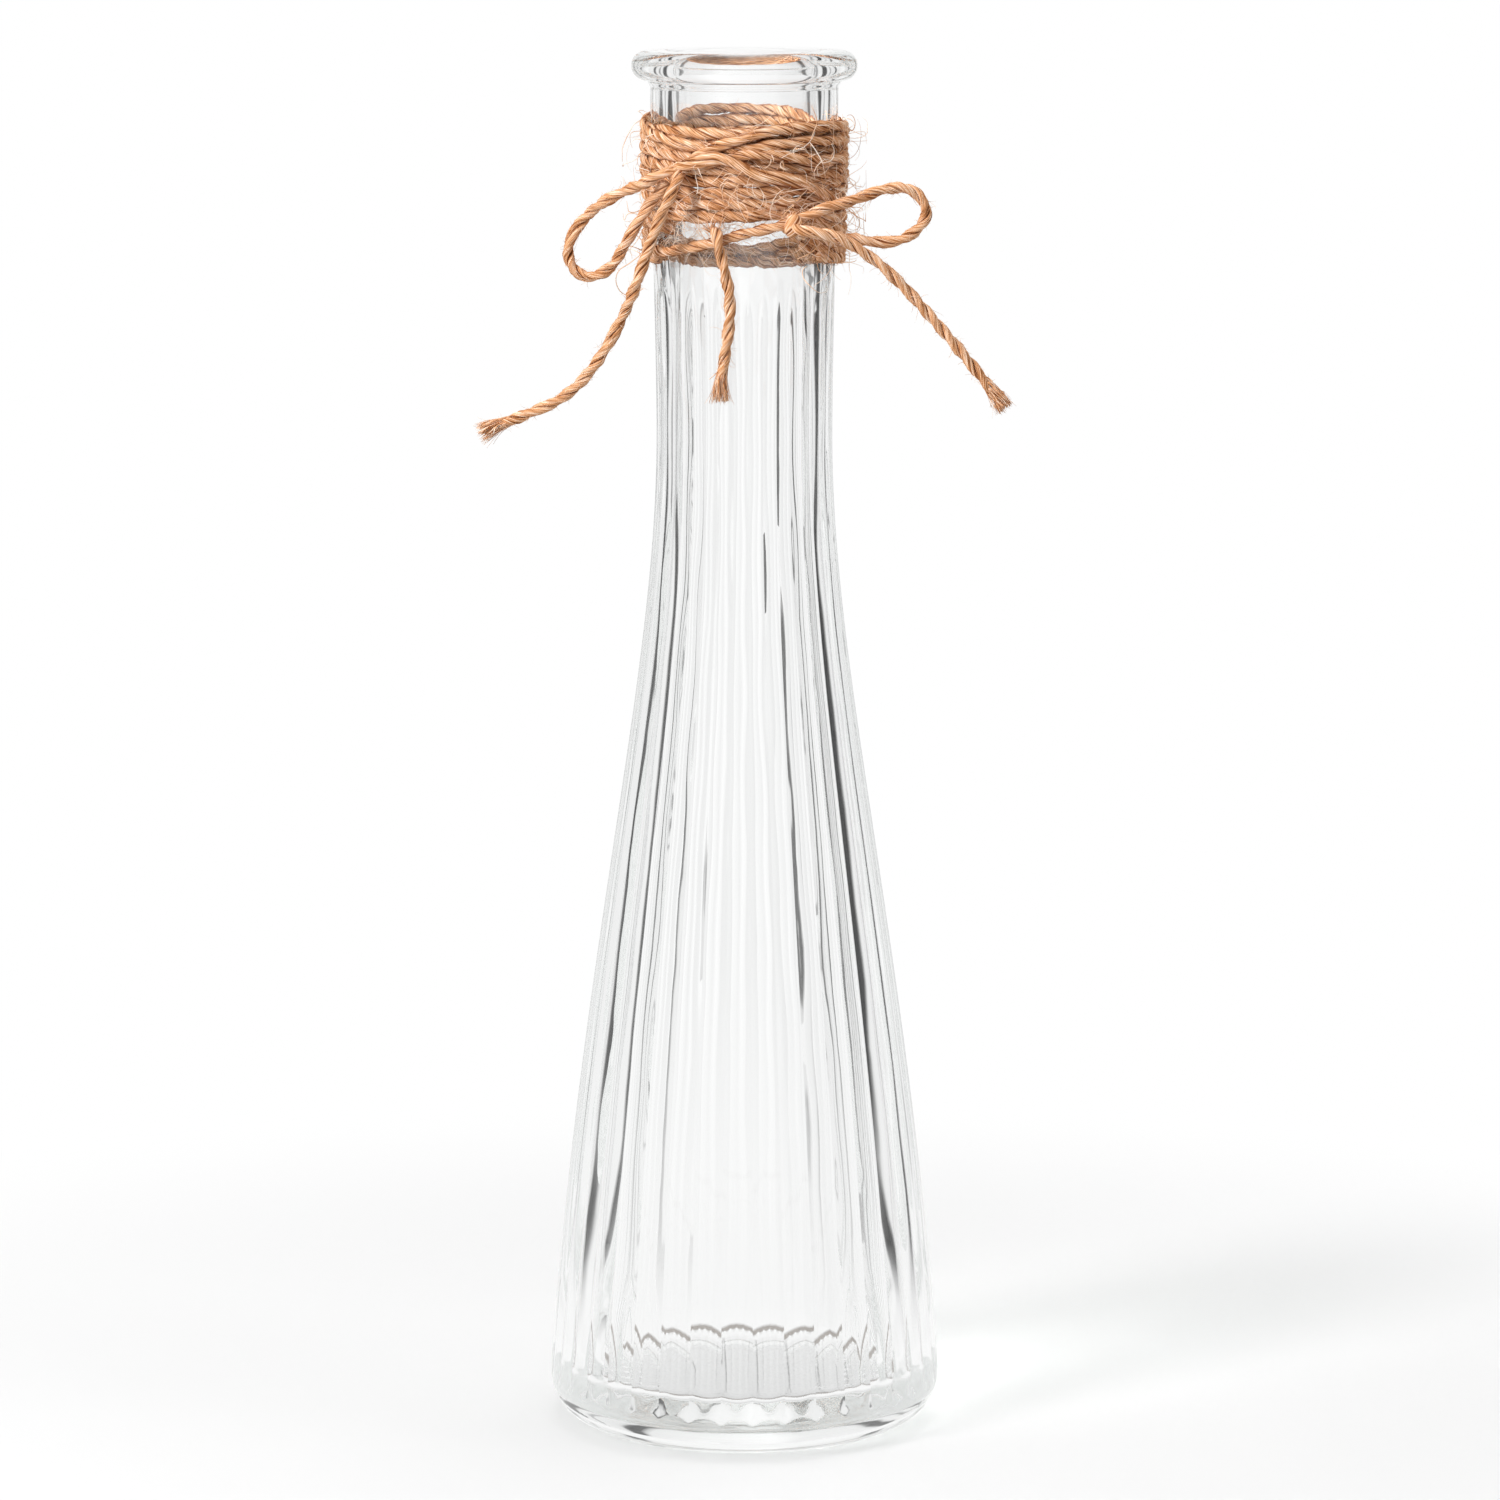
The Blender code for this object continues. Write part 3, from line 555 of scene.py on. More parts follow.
def makeTwineObject(name, parts, material):
    whole = stackParts(parts)
    mesh = bpy.data.meshes.new(name)
    mesh.from_pydata((whole["points"] * mm).tolist(), [], whole["faces"])
    mesh.polygons.foreach_set("use_smooth", np.ones(len(mesh.polygons), bool))
    mesh.attributes.new("strandPlace", "FLOAT_VECTOR", "POINT").data.foreach_set(
        "vector", whole["strandPlace"].astype(np.float32).ravel())
    for key in ("crevice", "paleness"):
        mesh.attributes.new(key, "FLOAT", "POINT").data.foreach_set("value", whole[key].astype(np.float32))
    mesh.update()
    mesh.validate()
    made = bpy.data.objects.new(name, mesh)
    bpy.context.scene.collection.objects.link(made)
    made.data.materials.append(material)
    return made


def sidesOf(line, forward, radial):
    # directions square to the line: away from the neck, or carried along without a twist
    if radial is not None:
        return unit(radial - forward * np.sum(radial * forward, axis=1, keepdims=True))
    side = np.zeros_like(line)
    last = np.array((1.0, 0.0, 0.0)) if abs(forward[0, 2]) > 0.9 else up
    for index, heading in enumerate(forward):
        last = last - heading * (last @ heading)
        last = last / np.linalg.norm(last)
        side[index] = last
    return side


def plySplits(along, turn, rng):
    # each ply parts along its fibres here and there
    splits = np.zeros((len(along), len(turn)))
    for ply in (0.0, math.pi):
        for place in jute["splitPlaces"]:
            drift = ply + place + 0.20 * waver(along, rng, 7.0, 26.0)
            apart = (turn[None, :] - drift[:, None] + math.pi) % fullTurn - math.pi
            strength = np.clip(0.55 + 0.5 * waver(along, rng, 5.0, 18.0), 0.0, 1.2)
            splits += strength[:, None] * np.exp(-(apart / jute["splitWidth"]) ** 2)
    return splits


def fibreRidges(along, turn, rng):
    # bundles of fibre along the plies
    ridges = np.zeros((len(along), len(turn)))
    for _ in range(jute["ridgeKinds"]):
        number = rng.integers(5, 14)
        wave = rng.uniform(5.0, 16.0) * rng.choice((-1, 1))
        ridges += np.cos(number * turn[None, :] + fullTurn * along[:, None] / wave + rng.uniform(0, anyPhase))
    return ridges


def buildStrand(line, seed, width, lay, lobe, radial=None, depth=1.0, phaseAt=0.0, startCap=0.5, endCap=0.5,
                thin=None, creaseDepth=jute["crease"]):
    # two plies twisted together: a two-lobed section with a crease, turned along the line
    rng = np.random.default_rng(seed)
    along = lengthAlong(line)
    forward = unit(np.gradient(line, axis=0))
    side = sidesOf(line, forward, radial)
    across = np.cross(forward, side)
    wander = jute["twistWander"] * waver(along, rng, 9.0, 30.0)
    twist = fullTurn * (along - phaseAt) / lay + wander - np.interp(phaseAt, along, wander)
    count = jute["ringSides"]
    evenTurn = np.linspace(0.0, fullTurn, count, endpoint=False)
    turn = evenTurn + jute["creaseCrowding"] * np.sin(2 * evenTurn)       # more sides towards the crease
    offset = 1.0 - lobe
    section = offset * np.abs(np.cos(turn)) + np.sqrt(lobe ** 2 - (offset * np.sin(turn)) ** 2)
    crease = np.exp(-(np.cos(turn) / jute["creaseWidth"]) ** 2)
    section = section - creaseDepth * crease
    splits = plySplits(along, turn, rng)
    ridges = fibreRidges(along, turn, rng)
    radius = width / 2 * (1.0 + jute["slub"] * waver(along, rng, 4.0, 22.0))
    if thin is not None:
        radius = radius * thin(along, along[-1])
    for distance, cap in ((along, startCap), (along[-1] - along, endCap)):
        share = np.clip(distance / (cap * width / 2), 0.0, 1.0)
        radius = radius * np.sqrt(np.maximum(1.0 - (1.0 - share) ** 2, 0.004))
    ridged = section[None, :] + jute["ridge"] * ridges * (1.0 - 0.6 * crease[None, :])
    reach = radius[:, None] * (ridged - jute["splitDepth"] * splits)
    angle = turn[None, :] + twist[:, None]
    around = np.cos(angle)[..., None] * side[:, None, :] + np.sin(angle)[..., None] * across[:, None, :]
    away = reach[..., None] * around
    # painted shade: the crease between the plies and the splits in them are darkened in colour
    dark = crease[None, :] + jute["paintedSplitShade"] * splits
    if radial is not None:                              # flattened on to the neck, with painted shade where turns meet
        outwards = unit(radial)[:, None, :]
        away = away - (1.0 - depth) * np.sum(away * outwards, axis=2, keepdims=True) * outwards
        facing = np.sum(unit(away) * outwards, axis=2)
        dark = dark + jute["paintedContactShade"] * np.exp(-((facing + 0.12) / 0.36) ** 2)
    points = line[:, None, :] + away
    rows = len(line)
    faces = ringQuads(np.arange(rows - 1)[:, None] * count, count)
    first, last = rows * count, rows * count + 1
    top = (rows - 1) * count
    faces += [[first, (k + 1) % count, k] for k in range(count)]
    faces += [[last, top + k, top + (k + 1) % count] for k in range(count)]
    shift = rng.uniform(-400, 400)
    places = np.stack(np.broadcast_arrays(
        np.cos(turn)[None, :] * 1.15, np.sin(turn)[None, :] * 1.15, along[:, None] + shift), axis=-1)
    pale = np.broadcast_to((0.10 * waver(along, rng, 6.0, 40.0))[:, None], (rows, count))
    ends = np.array(((0.0, 0.0, shift), (0.0, 0.0, along[-1] + shift)))
    return {
        "points": np.vstack((points.reshape(-1, 3), line[:1], line[-1:])),
        "faces": faces,
        "strandPlace": np.vstack((places.reshape(-1, 3), ends)),
        "crevice": np.concatenate((np.minimum(dark, jute["darkest"]).ravel(), (0.6, 0.6))),
        "paleness": np.concatenate((pale.ravel(), (0.0, 0.0))),
        "line": line, "forward": forward, "side": side, "across": across, "along": along,
        "skin": points, "away": away, "width": width,
    }


# Hairs: three-sided tubes that grow from the strands' skin

fibre = {
    "wobble": 0.06, "axisTurn": 0.22,      # how unevenly a hair bends
    "offGlass": 0.06, "innermost": 5.0,
    "placeSpan": 60.0, "placeRun": 4.0,    # where the hairs lie in the jute's pattern
}


def tubeFibres(runs, thickness, rng, paleness, taper=0.35):
    # runs: fibres x points x 3; the tubes thin towards their tips
    count, length = runs.shape[:2]
    forward = unit(np.gradient(runs, axis=1))
    side = unit(np.cross(forward, unit(rng.normal(size=(count, 1, 3)))))
    across = np.cross(forward, side)
    share = np.linspace(0.0, 1.0, length)
    thickest = np.broadcast_to(np.asarray(thickness).reshape(-1, 1), (count, 1))
    radius = (thickest * (1.0 - (1.0 - taper) * share[None, :] ** 2))[..., None]
    rings = []
    for corner in range(3):
        turn = fullTurn * corner / 3
        rings.append(runs + radius * (math.cos(turn) * side + math.sin(turn) * across))
    points = np.stack(rings, axis=2).reshape(-1, 3)
    base = (np.arange(count)[:, None] * length + np.arange(length - 1)[None, :]).reshape(-1, 1) * 3
    start = np.arange(count)[:, None] * length * 3
    ends = np.concatenate((start + np.array(((0, 2, 1),)), start + (length - 1) * 3 + np.array(((0, 1, 2),))))
    seedPlace = rng.uniform(-fibre["placeSpan"], fibre["placeSpan"], size=(count, 1, 3))
    places = seedPlace + np.zeros((count, length, 3))
    places[..., 2] += share[None, :] * fibre["placeRun"]
    tone = np.broadcast_to(np.asarray(paleness, float), (count,))
    return {
        "points": points,
        "faces": ringQuads(base, 3) + ends.tolist(),
        "strandPlace": np.repeat(places[:, :, None, :], 3, axis=2).reshape(-1, 3),
        "crevice": np.zeros(len(points)),
        "paleness": np.repeat(tone, length * 3),
    }


def growFibres(roots, headings, lengths, curl, steps, rng):
    # each fibre bends about its own axis, which turns slowly, and stays outside the glass
    count = len(roots)
    heading = unit(headings)
    axis = unit(np.cross(heading, rng.normal(size=(count, 3))))
    bend = (curl / steps)[:, None]
    place = roots.copy()
    runs = [place.copy()]
    for _ in range(steps):
        noise = rng.normal(size=(count, 3)) * fibre["wobble"]
        heading = unit(heading + np.cross(axis, heading) * bend + noise)
        axis = unit(axis + rng.normal(size=(count, 3)) * fibre["axisTurn"])
        place = place + heading * (lengths / steps)[:, None]
        runs.append(place.copy())
    runs = np.stack(runs, axis=1)
    distance = np.hypot(runs[..., 0], runs[..., 1])
    need = neckRadius(runs[..., 2]) + fibre["offGlass"]
    inside = (distance < need) & (distance > fibre["innermost"])
    runs[..., :2] *= np.where(inside, need / np.maximum(distance, 1e-6), 1.0)[..., None]
    return runs


def growHairs(roots, headings, kind, rng):
    # kind: the least and the most of each random measure, and how far off the neck they may reach
    count = len(roots)
    if "gamma" in kind:
        shortest, longest = kind["lengths"]
        lengths = np.minimum(rng.gamma(*kind["gamma"], count) + shortest, longest)
    else:
        lengths = rng.uniform(*kind["lengths"], count)
    runs = growFibres(roots, headings, lengths, rng.uniform(*kind["curl"], count), kind["steps"], rng)
    if "reach" in kind:
        far = np.hypot(runs[..., 0], runs[..., 1])
        runs[..., :2] *= np.minimum((neckRadius(runs[..., 2]) + kind["reach"]) / far, 1.0)[..., None]
    thickness = blendValue(*kind["thick"], rng.uniform(0.0, 1.0, count) ** kind.get("thinness", 1))
    return tubeFibres(runs, thickness, rng, rng.uniform(*kind["paleness"], count))


fray = {
    "length": 5.4, "bare": 1.8,       # the twisted strand has thinned out this far from its end
    "startSpread": (-1.2, 1.6), "raggedness": 1.1,
    "tightness": 0.82, "strays": 0.16, "strayReach": 0.35, "sway": 0.14, "unwinding": 0.5,
    "paleness": (-0.05, 0.35), "steps": 8,
    "brush": (
        {"count": 64, "thick": (0.07, 0.14), "spread": 1.0, "reach": 0.2, "taper": 0.75},      # bundles
        {"count": 120, "thick": (0.025, 0.05), "spread": 1.3, "reach": 0.6, "taper": 0.5},     # single hairs
    ),
}


def frayEnd(strand, rng, flare):
    # the plies come undone over the last few mm, into a brush of bundles and single hairs
    along = strand["along"]
    parts = []
    for kind in fray["brush"]:
        count = kind["count"]
        begin = along[-1] - fray["length"] + rng.uniform(*fray["startSpread"], count)
        finish = along[-1] - np.abs(rng.normal(0.0, fray["raggedness"], count)) + kind["reach"]
        lean = np.sqrt(rng.uniform(0.0, 1.0, count))
        turn = rng.uniform(0, fullTurn, count)
        share = np.linspace(0.0, 1.0, fray["steps"])
        at = begin[:, None] + (finish - begin)[:, None] * share[None, :]
        centre, sides, crosses = (rowsAt(at, along, strand[key]) for key in ("line", "side", "across"))
        beyond = np.maximum(at - along[-1], 0.0)[..., None] * strand["forward"][-1]
        opening = 1.0 + (flare * kind["spread"] - 1.0) * share[None, :] ** 1.4
        opened = strand["width"] / 2 * fray["tightness"] * lean[:, None] * opening
        stray = rng.uniform(size=(count, 1)) < fray["strays"]
        opened = opened * (1.0 + fray["strayReach"] * stray * share[None, :] ** 2)
        sway = np.sin(share[None, :] * rng.uniform(2, 7, (count, 1)) + rng.uniform(0, 6, (count, 1)))
        curveTurn = turn[:, None] + fray["unwinding"] * (1.0 - share[None, :])
        around = np.cos(curveTurn)[..., None] * sides + np.sin(curveTurn)[..., None] * crosses
        runs = centre + beyond + opened[..., None] * around + (fray["sway"] * sway)[..., None] * sides
        thickness = rng.uniform(*kind["thick"], count)
        paleness = rng.uniform(*fray["paleness"], count)
        parts.append(tubeFibres(runs, thickness, rng, paleness, kind["taper"]))
    return parts


def frayThin(along, total):
    share = (total - along - fray["bare"]) / (fray["length"] - fray["bare"])
    return np.clip(share, 0.08, 1.0) ** 0.6


juteLook = {
    "fineScale": 5.5, "fineStretch": 0.06, "fineShare": 1.50,
    "broadScale": 1.5, "broadStretch": 0.12, "broadShare": 0.50,
    "blotchScale": 0.35, "blotchShare": 0.25,
    "paleShare": 0.28, "darker": 0.60,
    "tones": (
        (0.18, (0.14, 0.038, 0.009)),
        (0.35, (0.41, 0.159, 0.053)),
        (0.48, (0.65, 0.311, 0.140)),
        (0.62, (0.84, 0.503, 0.294)),
        (0.78, (0.99, 0.760, 0.590)),
        (1.00, (1.00, 0.875, 0.760)),
    ),
    # the colour and strength of the painted shade in creases, splits and where turns meet
    "crevice": (0.26, 0.105, 0.045, 1.0), "paintedCreviceShadeShare": 0.92,
    "smoothest": 0.72, "roughest": 0.92, "shine": 0.10,
    "bumpStrength": 0.7, "bumpDepth": 0.00009,
}


def makeJuteMaterial():
    look = juteLook
    material, tree = newMaterial("naturalJute")
    shader = tree.nodes["Principled BSDF"]
    place = attributeOf(tree, "strandPlace", "Vector")
    fine = noiseOf(tree, place, look["fineScale"], 3.0, look["fineStretch"])
    broad = noiseOf(tree, place, look["broadScale"], 2.0, look["broadStretch"])
    blotch = noiseOf(tree, place, look["blotchScale"], 2.0)
    pale = attributeOf(tree, "paleness", "Fac")
    tone = mathOf(tree, "MULTIPLY", fine, look["fineShare"])
    for part, name in ((broad, "broad"), (blotch, "blotch"), (pale, "pale")):
        tone = mathOf(tree, "ADD", tone, mathOf(tree, "MULTIPLY", part, look[name + "Share"]))
    colour = rampOf(tree, mathOf(tree, "SUBTRACT", tone, look["darker"]), look["tones"])
    # painted shade: the colour is darkened in creases, ply splits and where turns meet
    deep = mathOf(tree, "MULTIPLY", attributeOf(tree, "crevice", "Fac"), look["paintedCreviceShadeShare"], clamp=True)
    shaded = mixColour(tree, deep, colour, look["crevice"], way="MULTIPLY")
    tree.links.new(shaded, shader.inputs["Base Color"])
    rough = mapRange(tree, blotch, toLow=look["smoothest"], toHigh=look["roughest"])
    tree.links.new(rough, shader.inputs["Roughness"])
    shader.inputs["Specular IOR Level"].default_value = look["shine"]
    tree.links.new(bumpOf(tree, fine, look["bumpStrength"], look["bumpDepth"]), shader.inputs["Normal"])
    return material


# The pieces of twine

fuzzSources = []


def finishTwine(name, parts, *nodes):
    made = makeTwineObject(name, parts, juteMaterial)
    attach(made, "root")
    if nodes:
        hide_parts(*nodes)
    return made


def makeCord(name, node, centre, stops, seed, length, farEnd, frayed=0.0, **more):
    line = smoothRoute([centre + np.array(stop) for stop in stops], jute["ringSpacing"])
    rng = np.random.default_rng(seed + 500)
    strand = buildStrand(
        line, seed, jute["looseWidth"], jute["looseLay"], jute["looseLobe"],
        thin=frayThin if frayed else None, **more)
    cord = finishTwine(name, [strand] + (frayEnd(strand, rng, frayed) if frayed else []), node)
    fuzzSources.append((strand, fuzz["looseShare"], "free"))
    print(f"{name}: {strand['along'][-1]:.1f} mm")


def makeCords():
    left, right, hook = knotCentre(knotLeftPlace), knotCentre(knotRightPlace), hookPlace()
    makeCord("bowLoopLeft", "bow_loop_left", left, loopLeft, 11, 0.056, "object", startCap=0.3)
    makeCord("bowLoopRight", "bow_loop_right", right, loopRight, 12, 0.054, "object")
    makeCord("tailLeft", "tail_left", left, tailLeft, 13, 0.062, "bare", frayed=1.9)
    makeCord("tailRight", "tail_right", right, tailRight, 14, 0.053, "bare", frayed=1.9)
    makeCord("tailCentre", "tail_centre", hook, tailCentre, 15, 0.032, "bare", frayed=1.8)


def outwardsOf(line):
    return np.column_stack((line[:, 0], line[:, 1], np.zeros(len(line))))


def makeBand():
    rng = np.random.default_rng(21)
    length = (jute["bandTurns"] - jute["bandFrom"]) * fullTurn * jute["woundRadius"]
    turns = np.linspace(jute["bandFrom"], jute["bandTurns"] + 0.02, int(length / jute["ringSpacing"]))
    degrees = jute["bandEnd"] + 360.0 * turns
    backShare = (1.0 - np.cos(np.radians(degrees))) / 2
    along = turns * fullTurn * jute["woundRadius"]
    height = jute["bandLow"] + jute["bandPitch"] * turns + jute["bandBackRise"] * backShare ** 1.3
    height = height + jute["bandWaver"] * waver(along, rng, 14.0, 60.0)
    radius = bandRadius(height) + jute["bandLift"] * np.abs(waver(along, rng, 9.0, 40.0))
    line = placeOn(degrees, height, radius)
    strand = buildStrand(
        line, 22, jute["woundWidth"], jute["woundLay"], jute["woundLobe"], radial=outwardsOf(line),
        depth=jute["woundDepth"], creaseDepth=jute["woundCrease"])
    finishTwine("twineBand", [strand], "twine_band")
    fuzzSources.append((strand, fuzz["bandShare"], "wound"))
    print(f"twineBand: {strand['along'][-1]:.0f} mm")


def lyingStrand(name, stops, seed, layerRadius, nodes=(), width=jute["looseWidth"], lay=jute["looseLay"],
                lobe=jute["looseLobe"], depth=jute["lyingDepth"], **more):
    rng = np.random.default_rng(seed + 900)
    line = lyingLine(stops, layerRadius)
    along = np.arange(len(line)) * jute["ringSpacing"]
    line[:, 2] += jute["lyingWaver"] * waver(along, rng, 9.0, 30.0) * smoothStep(along / 4.0)
    strand = buildStrand(line, seed, width, lay, lobe, radial=outwardsOf(line), depth=depth, **more)
    finishTwine(name, [strand], *nodes)
    fuzzSources.append((strand, fuzz["lyingShare"], "wound"))


def makeLyingStrands():
    wound = {key: jute["wound" + key.capitalize()] for key in ("width", "lay", "lobe", "depth")}
    lyingStrand("lowerTurnUpper", lowerTurnUpper, 31, bandRadius, ("lower_turn_upper",), **wound)
    lyingStrand("lowerTurnLower", lowerTurnLower, 33, bandRadius, ("lower_turn_lower",), **wound)
    lyingStrand("sideTurnHigh", sideTurnHigh, 51, bandRadius, **wound)
    lyingStrand("sideTurnMiddle", sideTurnMiddle, 52, bandRadius, **wound)
    lyingStrand("sideTurnLow", sideTurnLow, 53, bandRadius, **wound)
    middle = lowerTurnMiddle + lowerStrand
    lyingStrand("lowerTurnMiddle", middle, 32, looseOnGlass, ("lower_turn_middle", "lower_strand"))
    lyingStrand(
        "crossStrand", crossStrand, 34, looseOnBand, ("cross_strand",), lay=jute["crossLay"],
        width=jute["crossWidth"], phaseAt=1.0)
    lyingStrand("upperStrand", upperStrand, 35, looseOnBand, ("upper_strand",), lay=jute["upperLay"])
    lyingStrand("slantStrand", slantStrand, 36, looseOnBand, lay=jute["slantLay"])
    lyingStrand("underStrand", underStrand, 37, looseOnBand, lay=jute["underLay"])


# mm and degrees; the lump is where the strand bulges as it folds over at the front
rightKnot = {
    "spot": knotRightPlace, "seed": 41, "tilt": 22.0, "halfTall": 1.25, "halfDeep": 1.0, "drift": 0.8,
    "lump": {"tall": 3.7, "wide": 2.9, "lower": -0.5, "out": 0.5, "bend": 0.8, "lay": 40.0, "lobe": 0.96},
}
leftHitch = {
    "spot": knotLeftPlace, "seed": 42, "tilt": 20.0, "halfTall": 1.1, "halfDeep": 0.7, "drift": 0.6,
}


def makeKnot(name, node, knot):
    # one strand drawn tight round the strands that cross there
    centre = knotCentre(knot["spot"])
    turn, lean = math.radians(knot["spot"][0]), math.radians(knot["tilt"])
    outwards = np.array((math.sin(turn), -math.cos(turn), 0.0))
    tangent = np.array((math.cos(turn), math.sin(turn), 0.0))
    upwards = up * math.cos(lean) + tangent * math.sin(lean)
    beside = tangent * math.cos(lean) - up * math.sin(lean)
    rounds = np.radians(np.linspace(*jute["knotTurns"], jute["knotSteps"]))
    share = np.linspace(-0.5, 0.5, jute["knotSteps"])
    stops = (
        centre + np.outer(np.cos(rounds) * knot["halfDeep"], outwards)
        + np.outer(np.sin(rounds) * knot["halfTall"], upwards) + np.outer(share * knot["drift"], beside)
    )
    line = smoothRoute(stops, 0.25)
    strand = buildStrand(line, knot["seed"], jute["knotWidth"], jute["knotLay"], jute["knotLobe"])
    parts = [strand]
    if "lump" in knot:
        lump = knot["lump"]
        middle = centre + outwards * (knot["halfDeep"] + lump["out"]) + np.array((0.0, 0.0, lump["lower"]))
        share = np.linspace(-1.0, 1.0, 15)
        stops = middle + np.outer(share * lump["tall"] / 2, upwards)
        stops = stops - np.outer(share ** 2 * lump["bend"], outwards)
        parts.append(buildStrand(
            smoothRoute(stops, 0.2), knot["seed"] + 5, lump["wide"], lump["lay"], lump["lobe"], startCap=1.3,
            endCap=1.3, creaseDepth=0.03))
    finishTwine(name, parts, node)
    fuzzSources.append((strand, fuzz["looseShare"], "free"))


fuzz = {
    "count": 5200, "looseShare": 5.0, "bandShare": 1.6, "lyingShare": 2.2,     # how thickly each grows it
    "wound": (0.15, 0.9), "free": (0.12, 0.75),      # how far the hairs lift off the strand
    "turned": 0.25, "sunk": 0.05,
    "gamma": (2.2, 0.42), "lengths": (0.3, 4.0), "curl": (0.2, 1.8), "steps": 4,
    "thick": (0.020, 0.045), "paleness": (0.0, 1.0),
}


def fuzzOn(strand, count, rng, kind):
    rows, columns = strand["skin"].shape[:2]
    row = rng.integers(2, rows - 2, count)
    column = rng.integers(0, columns, count)
    roots = strand["skin"][row, column]
    outwards = unit(strand["away"][row, column])
    ahead = strand["forward"][row] * rng.choice((-1.0, 1.0), (count, 1))
    lift = rng.uniform(*fuzz[kind], (count, 1))
    headings = ahead + outwards * lift + rng.normal(size=(count, 3)) * fuzz["turned"]
    return roots - outwards * fuzz["sunk"], headings


def makeFuzz():
    rng = np.random.default_rng(71)
    bits = {"free": [], "wound": []}
    total = sum(strand["along"][-1] * weight for strand, weight, _ in fuzzSources)
    for strand, weight, kind in fuzzSources:
        count = max(int(fuzz["count"] * strand["along"][-1] * weight / total), 4)
        roots, headings = fuzzOn(strand, count, rng, kind)
        bits[kind].append(growHairs(roots, headings, fuzz, rng))
    finishTwine("bowFuzz", bits["free"])
    finishTwine("bandFuzz", bits["wound"])


stray = {
    "turns": {       # off the wound turns, more of them at the front's right
        "count": 400, "frontShare": 0.45, "front": (38, 38), "heights": (-9.5, 15.8),
        "gamma": (4.0, 1.35), "lengths": (1.5, 14.0), "curl": (0.8, 5.0), "steps": 11, "reach": 5.2,
        "thick": (0.045, 0.120), "thinness": 2, "paleness": (0.2, 1.4),
    },
    "gap": {         # over the bare glass between the band and the lower strand
        "count": 200, "leftShare": 0.7, "heights": (-6.5, 0.3),
        "lengths": (2.5, 8.0), "curl": (0.5, 3.5), "steps": 10, "reach": 1.5,
        "thick": (0.03, 0.06), "paleness": (0.5, 1.6),
    },
    "star": {        # bristles where the centre tail begins
        "count": 26, "fan": (35, 165), "higher": 1.2, "further": 1.5, "scatter": 0.35,
        "lengths": (2.0, 4.6), "curl": (0.0, 0.8), "steps": 6, "thick": (0.06, 0.13), "paleness": (0.1, 0.6),
    },
    "thread": (      # hangs in a loop at the left
        (-17.8, -7.0, 214.6), (-20.3, -6.6, 212.6), (-22.3, -6.2, 211.2), (-22.9, -6.0, 209.5),
        (-22.4, -5.9, 207.8), (-21.3, -6.2, 206.9), (-19.8, -7.4, 207.0), (-18.0, -10.0, 208.2),
    ),
    "threadWidth": 0.10,
}


def hairsOnTurns(rng):
    kind = stray["turns"]
    count = kind["count"]
    degrees = rng.uniform(-180, 180, count)
    front = rng.uniform(size=count) < kind["frontShare"]
    degrees = np.where(front, rng.normal(*kind["front"], count), degrees)
    height = jute["bandLow"] + rng.uniform(*kind["heights"], count)
    overGap = (np.abs(degrees + 12) < 38) & (height < jute["bandLow"] - 1.0)
    height = np.where(overGap, height + 9.0, height)
    onTop = (degrees > -30) & (degrees < 75) & (height > jute["bandLow"] + 3)
    radius = neckRadius(height) + np.where(onTop, rng.uniform(1.9, 3.8, count), 1.8)
    roots = placeOn(degrees, height, radius)
    outwards = unit(outwardsOf(roots))
    headings = np.cross(outwards, up) * rng.choice((-1.0, 1.0), (count, 1))
    headings = headings + up * rng.normal(0.0, 0.8, (count, 1))
    headings = headings + outwards * rng.uniform(0.1, 0.8, (count, 1))
    return growHairs(roots, headings, kind, rng)


def hairsOverGap(rng):
    kind = stray["gap"]
    count = kind["count"]
    left = rng.uniform(size=count) < kind["leftShare"]
    degrees = np.where(left, rng.uniform(-62, -8, count), rng.uniform(-20, 70, count))
    height = jute["bandLow"] + rng.uniform(*kind["heights"], count)
    roots = placeOn(degrees, height, neckRadius(height) + 0.5)
    outwards = unit(outwardsOf(roots))
    headings = np.cross(outwards, up) * rng.normal(0.0, 1.0, (count, 1))
    headings = headings + up * rng.normal(0.0, 0.7, (count, 1)) + outwards * 0.1
    return growHairs(roots, headings, kind, rng)


def starOfBristles(rng):
    kind = stray["star"]
    count = kind["count"]
    fan = np.radians(rng.uniform(*kind["fan"], count))
    headings = np.column_stack((np.cos(fan), rng.uniform(-0.5, 0.1, count), np.sin(fan)))
    roots = hookPlace(kind["higher"], kind["further"]) + rng.normal(0, kind["scatter"], (count, 3))
    return growHairs(roots, headings, kind, rng)


def makeStrayFibres():
    rng = np.random.default_rng(81)
    parts = [hairsOnTurns(rng), hairsOverGap(rng), starOfBristles(rng)]
    thread = smoothRoute(stray["thread"], 0.4)
    parts.append(tubeFibres(thread[None], stray["threadWidth"], rng, 0.2, taper=0.8))
    finishTwine("strayFibres", parts)


# The glass itself

def quarterTurn(steps, first=0):
    return [math.radians(90.0 * step / steps) for step in range(first, steps + 1)]


